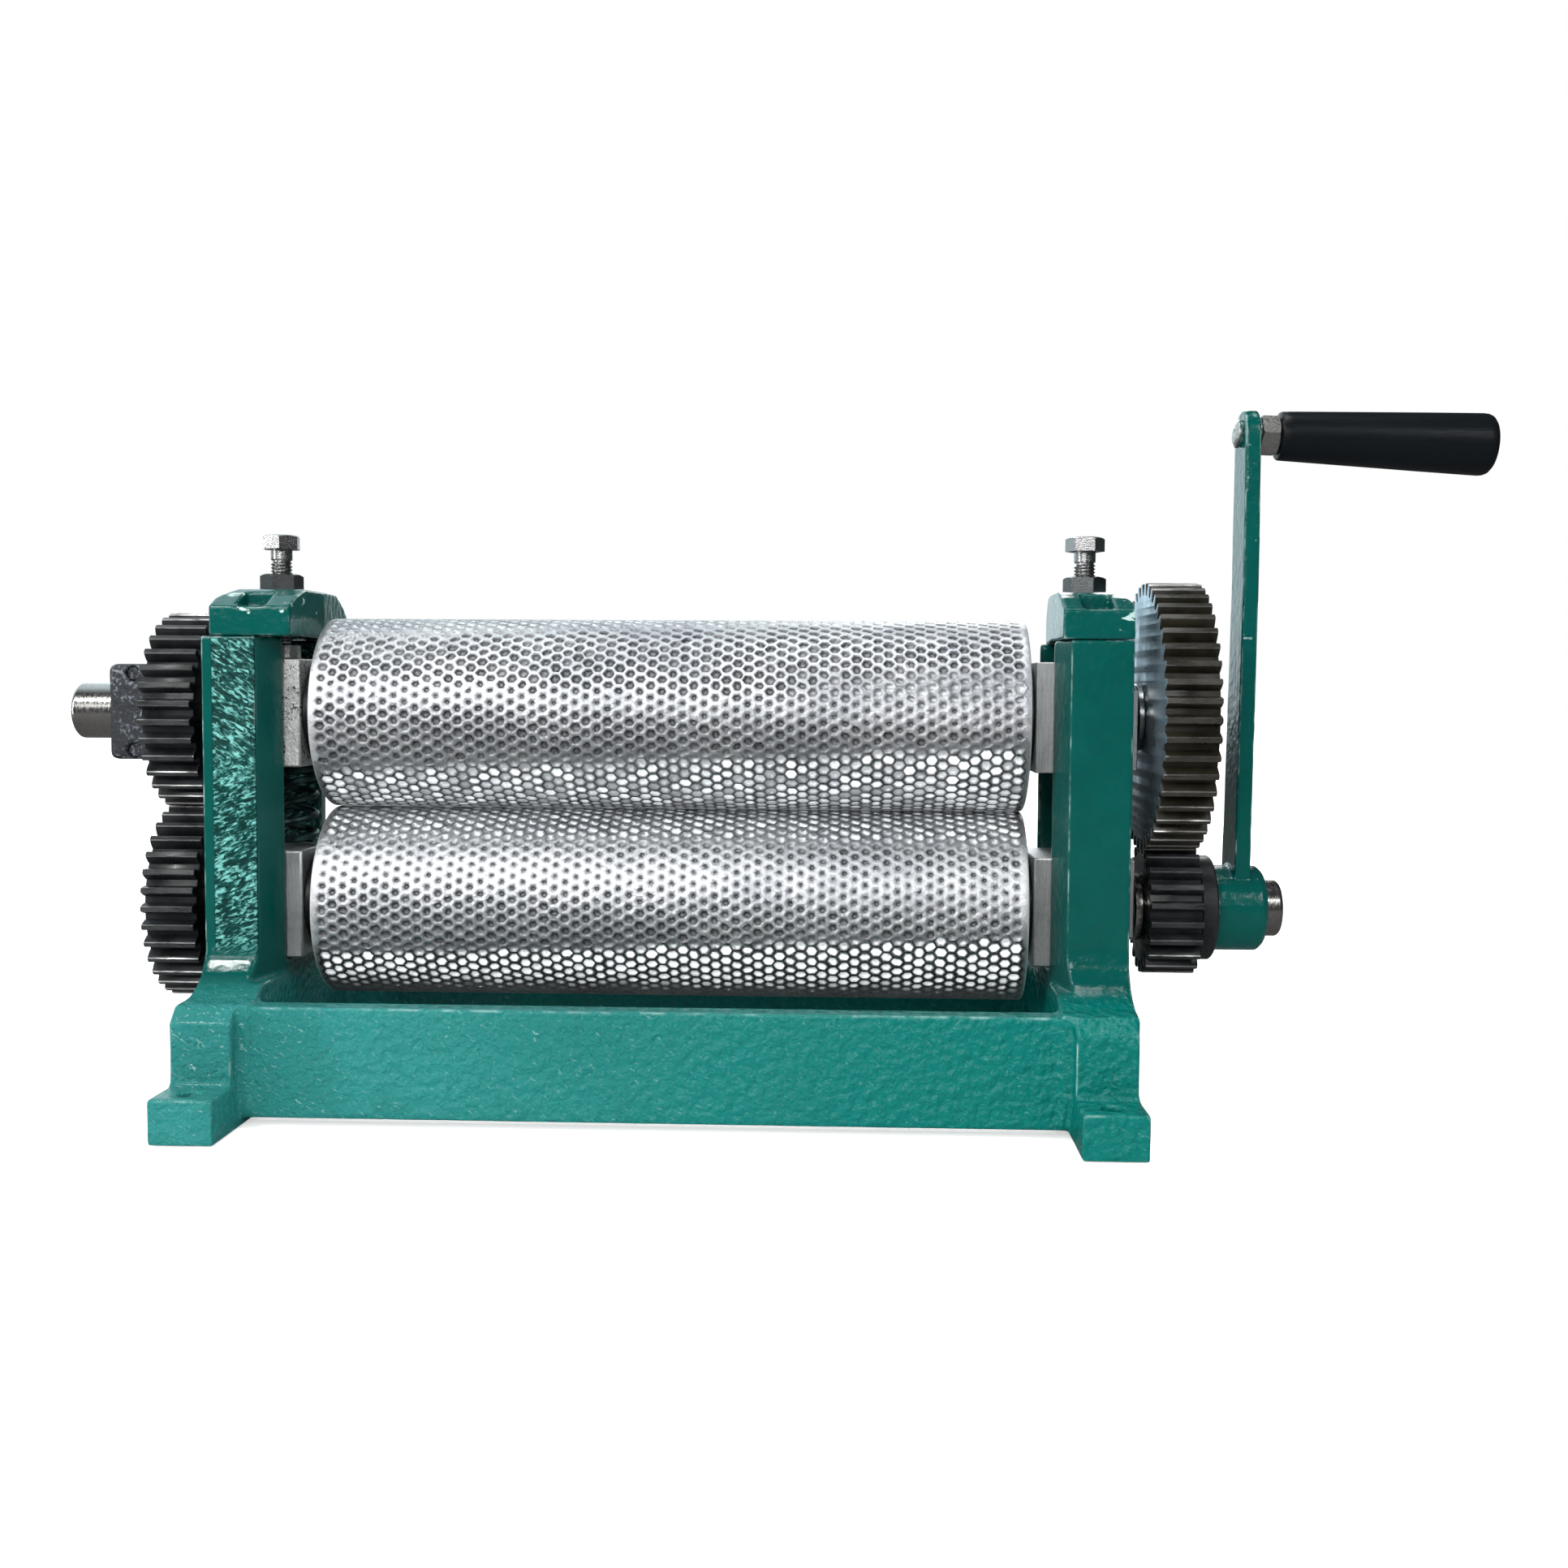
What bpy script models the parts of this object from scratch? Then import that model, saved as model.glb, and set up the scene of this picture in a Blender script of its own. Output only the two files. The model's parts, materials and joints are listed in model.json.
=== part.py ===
"""Hand-cranked comb foundation mill: two engraved rollers in a cast frame, geared together.

X runs along the rollers, with the crank at +X. Y is the feed direction, and Z is up.
Sizes are in metres. Axial places are measured from the middle of the rollers, and one
root empty then moves the whole mill so that its box is centred over the origin.
"""

import math

import bmesh
import bpy
from mathutils import Matrix, Vector

# Driving dimensions: rollers and gears
ROLLER_LENGTH = 0.310
NIP_GAP = 0.0006
MODULE = 0.0025
TIMING_TEETH = 34
WHEEL_TEETH = 46
PINION_TEETH = 22
PRESSURE_ANGLE = math.radians(20)
ADDENDUM = 0.85
DEDENDUM = 1.2
BACKLASH = 0.00026
GEAR_WIDTH = 0.023
SHAFT_DIAMETER = 0.025
ROLLER_SEAT_DIAMETER = 0.034
ROLLER_EDGE = 0.0015
SHAFT_EDGE = 0.0012

# Driving dimensions: bearings
BLOCK_HEIGHT = 0.048
BLOCK_DEPTH = 0.048
BUSH_WALL = 0.0035
BLOCK_PROUD = 0.0068
OUTER_BOSS_HEIGHT = 0.035
OUTER_BOSS_LENGTH = 0.007
OUTER_BOSS_SHIFT = 0.0055
COLLAR_LENGTH = {"left": 0.0087, "right": 0.0030}
COLLAR_DIAMETER = 0.044
SPRING_DIAMETER = 0.018
SPRING_WIRE = 0.003
SPRING_TURNS = 5
SPRING_INSET = {"left": 0.009, "right": 0.022}
SPRING_CLOSED_TURNS = 0.8
SPRING_CLOSED_PITCH = 0.55

# Driving dimensions: frame
LOWER_AXIS_Z = 0.087
END_THICKNESS = {"left": 0.0284, "right": 0.0316}
UPRIGHT_DEPTH = 0.092
CORNER_BEVEL_WIDTH = 0.005
BASE_OVERHANG = {"left": 0.0020, "right": -0.0010}
BASE_END_WIDTH = 0.0258
BASE_DEPTH = 0.160
BASE_TOP_Z = 0.0515
BASE_CHAMFER = 0.0065
BASE_BOTTOM_Z = 0.003
FLARE_HEIGHT = 0.022
RAIL_DEPTH = 0.143
RAIL_THICKNESS = 0.012
RAIL_TOP_Z = 0.0505
RAIL_STEP = 0.0004
FOOT_DEPTH = 0.204
FOOT_LENGTH = 0.047
FOOT_HEIGHT = 0.0187
FOOT_STEP = 0.0006
FOOT_HOLE_DIAMETER = 0.009
FOOT_HOLE_INSET = 0.011

# Driving dimensions: caps and adjusting screws
CAP_HEADROOM = 0.0091
CAP_SIDE_HEIGHT = 0.0124
CAP_HEIGHT = 0.0208
CAP_PLATEAU_DEPTH = 0.050
CAP_WIDTH = {"left": 0.0351, "right": 0.030}
CAP_OVERHANG = {"left": 0.0102, "right": -0.0015}
CAP_TAPER = 0.004
CAP_SHOULDER_SHARE = 0.62
CAP_OUTER_CHAMFER = 0.005
CAP_POCKET_WIDTH = 0.013
CAP_SCREW_DIAMETER = 0.006
CAP_SCREW_HEAD = 0.010
CAP_SCREW_SOCKET = 0.0056
CAP_SCREW_SOCKET_DEPTH = 0.003
CAP_SCREW_HEAD_HEIGHT = 0.005
CAP_SCREW_DEPTH = 0.022
ADJUSTER_INSET = {"left": 0.0090, "right": 0.0165}
ADJUSTER_DIAMETER = 0.0095
ADJUSTER_HEAD_ACROSS = 0.015
ADJUSTER_HEAD_HEIGHT = 0.0062
ADJUSTER_STICKOUT = 0.0193
LOCK_NUT_ACROSS = 0.0165
LOCK_NUT_HEIGHT = 0.0077
PAD_DIAMETER = 0.016
PAD_HEIGHT = 0.006

# Driving dimensions: shafts, spacers and end fastenings
SPACER_WALL = 0.0025
GEAR_OFFSET = {"left": 0.0062, "right": 0.0110}
PINION_OFFSET = 0.0010
PINION_FLANGE_DIAMETER = 0.0466
PINION_FLANGE_LENGTH = 0.0075
TIMING_HUB_SIDE = 0.0426
TIMING_HUB_LENGTH = 0.0229
TIMING_HUB_EDGE = 0.003
TIMING_HUB_SCREW_DIAMETER = 0.006
TIMING_HUB_SCREW_INSET = 0.002
TIMING_HUB_SCREW_SPACING = 0.034
SHAFT_STUB_LENGTH = 0.0216
CRANK_STUB_LENGTH = 0.0078
KEY_WIDTH = 0.006
KEY_LENGTH = 0.018
END_WASHER_DIAMETER = 0.032
END_WASHER_THICKNESS = 0.0025
END_SCREW_DIAMETER = 0.008
END_SCREW_HEAD_ACROSS = 0.013
END_SCREW_HEAD_HEIGHT = 0.005
END_SCREW_DEPTH = 0.014

# Driving dimensions: crank and grip
CRANK_RADIUS = 0.210
CRANK_HUB_DIAMETER = 0.038
CRANK_HUB_LENGTH = 0.0226
CRANK_HUB_EDGE = 0.0025
ARM_THICKNESS = 0.0068
ARM_WIDTH_AT_HUB = 0.026
ARM_WIDTH_AT_TIP = 0.021
ARM_OFFSET = 0.0128
ARM_BOW = 0.0006
ARM_BOW_SKEW = 1.4
ARM_LEAN = 0.0012
GRIP_DROOP = math.radians(2.4)
SPINDLE_DIAMETER = 0.010
SPINDLE_EDGE = 0.0008
SPINDLE_RIVET_DIAMETER = 0.012
SPINDLE_RIVET_LENGTH = 0.0022
GRIP_COLLAR_ACROSS = 0.016
GRIP_COLLAR_LENGTH = 0.0085
GRIP_LENGTH = 0.0927
GRIP_NEAR_DIAMETER = 0.0212
GRIP_FAR_DIAMETER = 0.0270
GRIP_DOME = 0.0030
GRIP_ROUNDING = ((0.0, 1.6), (0.3, 0.7), (1.0, 0.1), (1.8, 0.0))
GRIP_EDGE = 0.001
GRIP_BORE_DEPTH = 0.082
GRIP_RING_THICKNESS = 0.0014
GRIP_RING_WIDTH = 0.0022
GRIP_RING_INSET = 0.012
DOWEL_DIAMETER = 0.004
DOWEL_CIRCLE_RADIUS = 0.0159
DOWEL_LENGTH = 0.017
GRUB_DIAMETER = 0.006
GRUB_GROOVE_DEPTH = 0.002

# Clearances
SEAT_GAP = 0.0003
BORE_GAP = 0.0003
CUT_THROUGH = 0.002
ROUND_STEPS = 36
SMALL_STEPS = 16
ROLLER_STEPS = 72
ARM_STEPS = 14
FLANK_STEPS = 3
FLARE_STEPS = 5
SPRING_STEPS = 12

# Derived places
AXIS_DISTANCE = MODULE * 2 * TIMING_TEETH / 2
UPPER_AXIS_Z = LOWER_AXIS_Z + AXIS_DISTANCE
ROLLER_RADIUS = (AXIS_DISTANCE - NIP_GAP) / 2
SHAFT_RADIUS = SHAFT_DIAMETER / 2
SHAFT_BORE = SHAFT_RADIUS + BORE_GAP
SIDES = {"left": -1, "right": 1}
LEVELS = {"lower": LOWER_AXIS_Z, "upper": UPPER_AXIS_Z}

BLOCK_FACE = {s: ROLLER_LENGTH / 2 + COLLAR_LENGTH[s] + 2 * SEAT_GAP for s in SIDES}
UPRIGHT_INNER = {s: BLOCK_FACE[s] + BLOCK_PROUD for s in SIDES}
UPRIGHT_OUTER = {s: UPRIGHT_INNER[s] + END_THICKNESS[s] for s in SIDES}
BASE_OUTER = {s: UPRIGHT_OUTER[s] + BASE_OVERHANG[s] for s in SIDES}
BASE_INNER = {s: BASE_OUTER[s] - BASE_END_WIDTH for s in SIDES}
CAP_INNER = {s: UPRIGHT_INNER[s] - CAP_OVERHANG[s] for s in SIDES}
CAP_MIDDLE = {s: CAP_INNER[s] + CAP_WIDTH[s] / 2 for s in SIDES}
ADJUSTER_LINE = {s: UPRIGHT_INNER[s] + ADJUSTER_INSET[s] for s in SIDES}
SPRING_PLACE = {s: BLOCK_FACE[s] + SPRING_INSET[s] for s in SIDES}
WINDOW_HALF = BLOCK_DEPTH / 2 + SEAT_GAP
UPRIGHT_TOP_Z = UPPER_AXIS_Z + BLOCK_HEIGHT / 2 + CAP_HEADROOM
CAP_BOTTOM_Z = UPRIGHT_TOP_Z + SEAT_GAP
CAP_TOP_Z = CAP_BOTTOM_Z + CAP_HEIGHT
CAP_SCREW_Y = (WINDOW_HALF + UPRIGHT_DEPTH / 2) / 2
CAP_POCKET_Z = CAP_BOTTOM_Z + CAP_SIDE_HEIGHT
CAP_SEAT_Z = CAP_POCKET_Z - CAP_SCREW_HEAD_HEIGHT - SEAT_GAP
GEAR_INNER = {s: UPRIGHT_OUTER[s] + GEAR_OFFSET[s] for s in SIDES}
GEAR_OUTER = {s: GEAR_INNER[s] + GEAR_WIDTH for s in SIDES}
PINION_INNER = GEAR_INNER["right"] + PINION_OFFSET
PINION_FLANGE_END = PINION_INNER + GEAR_WIDTH + PINION_FLANGE_LENGTH
CRANK_HUB_START = PINION_FLANGE_END + SEAT_GAP
CRANK_HUB_END = CRANK_HUB_START + CRANK_HUB_LENGTH
LOWER_SHAFT_END = CRANK_HUB_END + CRANK_STUB_LENGTH
TIMING_HUB_END = GEAR_OUTER["left"] + SEAT_GAP + TIMING_HUB_LENGTH
UPPER_SHAFT_END = TIMING_HUB_END + SHAFT_STUB_LENGTH
ARM_X = CRANK_HUB_START + ARM_OFFSET
HANDLE_Z = LOWER_AXIS_Z + CRANK_RADIUS
TIP_TILT = ARM_BOW_SKEW * math.pi * ARM_BOW / CRANK_RADIUS + math.tan(GRIP_DROOP)
TIP_FACE = ARM_THICKNESS / 2 + SEAT_GAP
GRIP_COLLAR_START = TIP_FACE + TIP_TILT * GRIP_COLLAR_ACROSS / math.sqrt(3)
RIVET_START = -TIP_FACE - TIP_TILT * SPINDLE_RIVET_DIAMETER / 2
GRIP_START = GRIP_COLLAR_START + GRIP_COLLAR_LENGTH + SEAT_GAP
GRIP_END = GRIP_START + GRIP_LENGTH
GRIP_END_RADIUS = GRIP_FAR_DIAMETER / 2 - GRIP_ROUNDING[0][1] * GRIP_DOME
MILL_RIGHT_END = ARM_X + GRIP_END * math.cos(GRIP_DROOP) + GRIP_END_RADIUS * math.sin(GRIP_DROOP)
CENTRE_SHIFT = (UPPER_SHAFT_END - MILL_RIGHT_END) / 2

LOOKS = {
    "painted_casting": ((0.006, 0.155, 0.125), 0.32, 0.0),
    "aluminium": ((0.80, 0.81, 0.83), 0.38, 1.0),
    "bare_steel": ((0.42, 0.41, 0.39), 0.38, 1.0),
    "black_gear_steel": ((0.030, 0.030, 0.032), 0.42, 0.7),
    "brown_gear_steel": ((0.045, 0.042, 0.034), 0.40, 0.7),
    "bronze": ((0.50, 0.31, 0.13), 0.42, 1.0),
    "zinc_steel": ((0.62, 0.63, 0.65), 0.30, 1.0),
    "black_plastic": ((0.012, 0.013, 0.016), 0.40, 0.0),
}

FULL_TURN = (0, 360 - 360 / ROUND_STEPS)
ACROSS_X = Matrix(((0, 0, 1), (1, 0, 0), (0, 1, 0))).to_euler()
TURNED_ON_X = (0, math.radians(90), 0)
FACING_FRONT = (math.radians(90), 0, 0)

materials = {}
bodies = {}


def clear_scene():
    for obj in list(bpy.data.objects):
        bpy.data.objects.remove(obj)


def make_collection(name):
    collection = bpy.data.collections.new(name)
    bpy.context.scene.collection.children.link(collection)
    return collection


def make_material(name):
    colour, roughness, metallic = LOOKS[name]
    material = bpy.data.materials.new(name)
    material.use_nodes = True
    shader = material.node_tree.nodes["Principled BSDF"]
    shader.inputs["Base Color"].default_value = (*colour, 1)
    shader.inputs["Roughness"].default_value = roughness
    shader.inputs["Metallic"].default_value = metallic
    material.diffuse_color = (*colour, 1)
    return material


def make_body(name, x, y, z, parent=None):
    """An empty on a joint axis, which its pieces are parented to."""
    empty = bpy.data.objects.new(name + "_body", None)
    parts.objects.link(empty)
    empty.location = (x, y, z)
    empty.parent = parent
    bodies[name] = empty
    return empty


def add_object(name, data, body, place, rotation, look):
    """Links a piece under its body. The place is in the mill's own axes."""
    obj = bpy.data.objects.new(name, data)
    (parts if look else cutters).objects.link(obj)
    obj.parent = bodies[body]
    obj.location = Vector(place) - bodies[body].location
    obj.rotation_euler = rotation
    if look:
        data.materials.append(materials[look])
    else:
        obj.hide_render = True
        obj.display_type = "WIRE"
    return obj


def mesh_from(bm, name, smooth_above=None):
    mesh = bpy.data.meshes.new(name)
    bm.to_mesh(mesh)
    bm.free()
    if smooth_above:
        shade_round(mesh, smooth_above)
    return mesh


def shade_round(mesh, sharp_angle=math.radians(35)):
    mesh.shade_smooth()
    mesh.set_sharp_from_angle(angle=sharp_angle)


def box(name, low, high, body, look=None, bevel=0):
    """A block between two corners."""
    low, high = Vector(low), Vector(high)
    bm = bmesh.new()
    bmesh.ops.create_cube(bm, size=1)
    bmesh.ops.scale(bm, vec=high - low, verts=bm.verts)
    obj = add_object(name, mesh_from(bm, name), body, (low + high) / 2, (0, 0, 0), look)
    if bevel:
        modifier = obj.modifiers.new("edges", "BEVEL")
        modifier.width = bevel
        modifier.segments = 2
        modifier.limit_method = "ANGLE"
    return obj


def rod(name, centre, radius, length, direction, body, look=None, steps=SMALL_STEPS):
    """A plain cylinder; with 6 steps it is a hexagon whose radius reaches its corners."""
    bm = bmesh.new()
    bmesh.ops.create_cone(
        bm, cap_ends=True, segments=steps, radius1=radius, radius2=radius, depth=length
    )
    turn = Vector((0, 0, 1)).rotation_difference(Vector(direction)).to_matrix()
    bmesh.ops.rotate(bm, cent=(0, 0, 0), matrix=turn, verts=bm.verts)
    mesh = mesh_from(bm, name, math.radians(35) if steps > 6 else None)
    return add_object(name, mesh, body, centre, (0, 0, 0), look)


def turned(name, place, outer, body, look, bore=None, steps=ROUND_STEPS, rotation=TURNED_ON_X):
    """A shape turned about its own Z. outer runs from the far end to the near one, as
    (along, radius) pairs, and bore runs back from the near end."""
    bm = bmesh.new()
    profile = list(outer) + list(bore or ())
    if not bore:
        profile = [(outer[0][0], 0), *outer, (outer[-1][0], 0)]
    corners = [bm.verts.new((radius, 0, along)) for along, radius in profile]
    for first, second in zip(corners, corners[1:]):
        bm.edges.new((first, second))
    if bore:
        bm.edges.new((corners[-1], corners[0]))
    obj = add_object(name, mesh_from(bm, name), body, place, rotation, look)
    screw = obj.modifiers.new("turn", "SCREW")
    screw.steps = steps
    screw.render_steps = steps
    screw.use_merge_vertices = True
    screw.merge_threshold = 0.00001
    screw.use_smooth_shade = False
    return obj


def ring(name, start, end, outer_radius, bore_radius, z, body, look, side=1):
    """A bored ring on a shaft, from start to end outwards from the middle of the rollers."""
    half = (end - start) / 2
    place = (side * (start + end) / 2, 0, z)
    outer = [(half, outer_radius), (-half, outer_radius)]
    return turned(name, place, outer, body, look, [(-half, bore_radius), (half, bore_radius)])


def plate(name, outlines, thickness, place, rotation, body, look=None):
    """A flat outline, with any holes as further outlines, made solid to both sides."""
    curve = bpy.data.curves.new(name, "CURVE")
    curve.dimensions = "2D"
    curve.fill_mode = "BOTH"
    curve.extrude = thickness / 2
    for outline in outlines:
        spline = curve.splines.new("POLY")
        spline.points.add(len(outline) - 1)
        for point, (across, up) in zip(spline.points, outline):
            point.co = (across, up, 0, 1)
        spline.use_cyclic_u = True
    draft = bpy.data.objects.new(name + "_outline", curve)
    bpy.context.scene.collection.objects.link(draft)
    mesh = bpy.data.meshes.new_from_object(
        draft.evaluated_get(bpy.context.evaluated_depsgraph_get())
    )
    bpy.data.objects.remove(draft)
    bpy.data.curves.remove(curve)
    bm = bmesh.new()
    bm.from_mesh(mesh)
    bpy.data.meshes.remove(mesh)
    bmesh.ops.remove_doubles(bm, verts=bm.verts, dist=0.000001)
    bmesh.ops.recalc_face_normals(bm, faces=bm.faces)
    return add_object(name, mesh_from(bm, name), body, place, rotation, look)


def combine(target, other, operation):
    """Joins to, or cuts from, a piece. The other shape becomes a helper."""
    modifier = target.modifiers.new(other.name, "BOOLEAN")
    modifier.operation = operation
    modifier.solver = "EXACT"
    modifier.object = other
    return target


def join(target, *others):
    for other in others:
        combine(target, other, "UNION")


def cut(target, *others):
    for other in others:
        combine(target, other, "DIFFERENCE")


def hexagon_radius(across_flats):
    return across_flats / math.sqrt(3)


def arc(centre, radius, start, end, steps):
    """Points of a circle's arc, with angles in degrees."""
    angles = [math.radians(start + (end - start) * i / steps) for i in range(steps + 1)]
    return [
        (centre[0] + radius * math.cos(a), centre[1] + radius * math.sin(a)) for a in angles
    ]


def gear_outline(teeth, tooth_at):
    """An involute gear. tooth_at is the angle in degrees of the middle of one tooth."""
    pitch_radius = MODULE * teeth / 2
    base_radius = pitch_radius * math.cos(PRESSURE_ANGLE)
    tip_radius = pitch_radius + ADDENDUM * MODULE
    root_radius = pitch_radius - DEDENDUM * MODULE
    involute_at_pitch = math.tan(PRESSURE_ANGLE) - PRESSURE_ANGLE
    half_tooth = (math.pi * MODULE / 2 - BACKLASH) / (2 * pitch_radius)

    def half_angle(radius):
        if radius <= base_radius:
            return half_tooth + involute_at_pitch
        pressure = math.acos(base_radius / radius)
        return half_tooth + involute_at_pitch - (math.tan(pressure) - pressure)

    flank_start = max(base_radius, root_radius)
    rise = (tip_radius - flank_start) / FLANK_STEPS
    radii = [flank_start + rise * i for i in range(FLANK_STEPS + 1)]
    if root_radius < base_radius:
        radii.insert(0, root_radius)
    points = []
    for tooth in range(teeth):
        middle = math.radians(tooth_at) + 2 * math.pi * tooth / teeth
        for radius in radii:
            angle = middle - half_angle(radius)
            points.append((radius * math.cos(angle), radius * math.sin(angle)))
        for radius in reversed(radii):
            angle = middle + half_angle(radius)
            points.append((radius * math.cos(angle), radius * math.sin(angle)))
    return points


def keyed_bore(radius):
    """A bore's outline with a keyway at the top."""
    half = KEY_WIDTH / 2 + BORE_GAP
    edge = math.degrees(math.asin(half / radius))
    roof = SHAFT_RADIUS + KEY_WIDTH / 2 + BORE_GAP
    round_part = arc((0, 0), radius, 90 + edge, 450 - edge, ROUND_STEPS)
    return round_part + [(half, roof), (-half, roof)]


def gear(name, teeth, tooth_at, start, level, side, body, look, keyed=True):
    bore = keyed_bore(SHAFT_BORE) if keyed else arc((0, 0), SHAFT_BORE, *FULL_TURN, ROUND_STEPS - 1)
    place = (side * (start + GEAR_WIDTH / 2), 0, LEVELS[level])
    outlines = [gear_outline(teeth, tooth_at), bore]
    return plate(name, outlines, GEAR_WIDTH, place, ACROSS_X, body, look)


def key(name, shaft, start, level, side, body):
    """A square key in a seat cut into its shaft, under the gear that starts at start."""
    middle = side * (start + GEAR_WIDTH / 2)
    top = LEVELS[level] + SHAFT_RADIUS + KEY_WIDTH / 2
    half = Vector((KEY_LENGTH / 2, KEY_WIDTH / 2, 0))
    low = Vector((middle, 0, top - KEY_WIDTH)) - half
    box(name, low, Vector((middle, 0, top)) + half, body, "bare_steel")
    gap = Vector((SEAT_GAP, SEAT_GAP, SEAT_GAP))
    seat = box(name + "_seat", low - gap, Vector((middle, 0, top)) + half + gap, body)
    cut(shaft, seat)


def make_upright(side_name):
    """One end of the frame: the base's end wall with its corner blocks, and the upright,
    whose window is open at the top and guides the bearing blocks."""
    side = SIDES[side_name]
    half = BASE_DEPTH / 2
    end_wall = plate(
        side_name + "_end_wall",
        [
            [
                (-half, BASE_BOTTOM_Z),
                (half, BASE_BOTTOM_Z),
                (half, BASE_TOP_Z - BASE_CHAMFER),
                (half - BASE_CHAMFER, BASE_TOP_Z),
                (-half + BASE_CHAMFER, BASE_TOP_Z),
                (-half, BASE_TOP_Z - BASE_CHAMFER),
            ]
        ],
        BASE_END_WIDTH,
        (side * (BASE_OUTER[side_name] + BASE_INNER[side_name]) / 2, 0, 0),
        ACROSS_X,
        "frame",
    )
    leg = UPRIGHT_DEPTH / 2
    foot = half - BASE_CHAMFER
    run = foot - leg
    flare = [
        (foot - run * math.sin(a), BASE_TOP_Z + FLARE_HEIGHT * (1 - math.cos(a)))
        for a in (math.radians(90 * i / FLARE_STEPS) for i in range(FLARE_STEPS + 1))
    ]
    window_z = LOWER_AXIS_Z - BLOCK_HEIGHT / 2 - SEAT_GAP
    right_half = [
        (foot, BASE_BOTTOM_Z + CUT_THROUGH),
        *flare,
        (leg, UPRIGHT_TOP_Z),
        (WINDOW_HALF, UPRIGHT_TOP_Z),
        (WINDOW_HALF, window_z),
    ]
    outline = right_half + [(-y, z) for y, z in reversed(right_half)]
    upright = plate(
        side_name + "_upright",
        [outline],
        END_THICKNESS[side_name],
        (side * (UPRIGHT_OUTER[side_name] + UPRIGHT_INNER[side_name]) / 2, 0, 0),
        ACROSS_X,
        "frame",
    )
    for front in (-1, 1):
        inner = side * (UPRIGHT_INNER[side_name] - CUT_THROUGH)
        slope = CUT_THROUGH / CORNER_BEVEL_WIDTH * (leg - WINDOW_HALF)
        bevel = plate(
            f"{side_name}_bevel_{'front' if front < 0 else 'back'}",
            [
                [
                    (inner, front * (WINDOW_HALF - slope)),
                    (inner, front * (leg + slope)),
                    (
                        side * (UPRIGHT_INNER[side_name] + CORNER_BEVEL_WIDTH + CUT_THROUGH),
                        front * (leg + slope),
                    ),
                ]
            ],
            UPRIGHT_TOP_Z,
            (0, 0, BASE_TOP_Z + FLARE_HEIGHT / 4 + UPRIGHT_TOP_Z / 2),
            (0, 0, 0),
            "frame",
        )
        cut(upright, bevel)
    return end_wall, upright


def make_foot(side_name, front):
    side = SIDES[side_name]
    outer = side * (BASE_OUTER[side_name] + FOOT_STEP)
    inner = side * (BASE_INNER[side_name] - FOOT_STEP / 2)
    tip, heel = front * FOOT_DEPTH / 2, front * (FOOT_DEPTH / 2 - FOOT_LENGTH)
    low = (min(outer, inner), min(tip, heel), 0)
    high = (max(outer, inner), max(tip, heel), FOOT_HEIGHT)
    name = f"{side_name}_foot_{'front' if front < 0 else 'back'}"
    return box(name, low, high, "frame")


def foot_hole(side_name, front):
    middle = SIDES[side_name] * (BASE_OUTER[side_name] + BASE_INNER[side_name]) / 2
    place = (middle, front * (FOOT_DEPTH / 2 - FOOT_HOLE_INSET), FOOT_HEIGHT / 2)
    name = f"{side_name}_foot_hole_{'front' if front < 0 else 'back'}"
    length = FOOT_HEIGHT + 2 * CUT_THROUGH
    return rod(name, place, FOOT_HOLE_DIAMETER / 2, length, (0, 0, 1), "frame")


def cap_screw_hole(side_name, front):
    """The tapped hole in the top of an upright's leg."""
    place = (
        SIDES[side_name] * CAP_MIDDLE[side_name],
        front * CAP_SCREW_Y,
        UPRIGHT_TOP_Z - CAP_SCREW_DEPTH / 2,
    )
    name = f"{side_name}_cap_screw_hole_{'front' if front < 0 else 'back'}"
    length = CAP_SCREW_DEPTH + 2 * CUT_THROUGH
    return rod(name, place, CAP_SCREW_DIAMETER / 2 + BORE_GAP, length, (0, 0, 1), "frame")


def make_frame():
    """The casting: two rails, two end walls with feet, and two uprights."""
    left, right = -BASE_INNER["left"] - CUT_THROUGH, BASE_INNER["right"] + CUT_THROUGH
    outside, inside = RAIL_DEPTH / 2, RAIL_DEPTH / 2 - RAIL_THICKNESS
    frame = box(
        "frame",
        (left, -outside, BASE_BOTTOM_Z + RAIL_STEP),
        (right, -inside, RAIL_TOP_Z),
        "frame",
        "painted_casting",
    )
    back_rail = box(
        "back_rail",
        (left, inside, BASE_BOTTOM_Z + RAIL_STEP),
        (right, outside, RAIL_TOP_Z),
        "frame",
    )
    for side_name in SIDES:
        join(frame, *make_upright(side_name))
    join(frame, back_rail)
    for side_name in SIDES:
        for front in (-1, 1):
            join(frame, make_foot(side_name, front))
    for side_name in SIDES:
        for front in (-1, 1):
            cut(frame, foot_hole(side_name, front), cap_screw_hole(side_name, front))
    return frame


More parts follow.
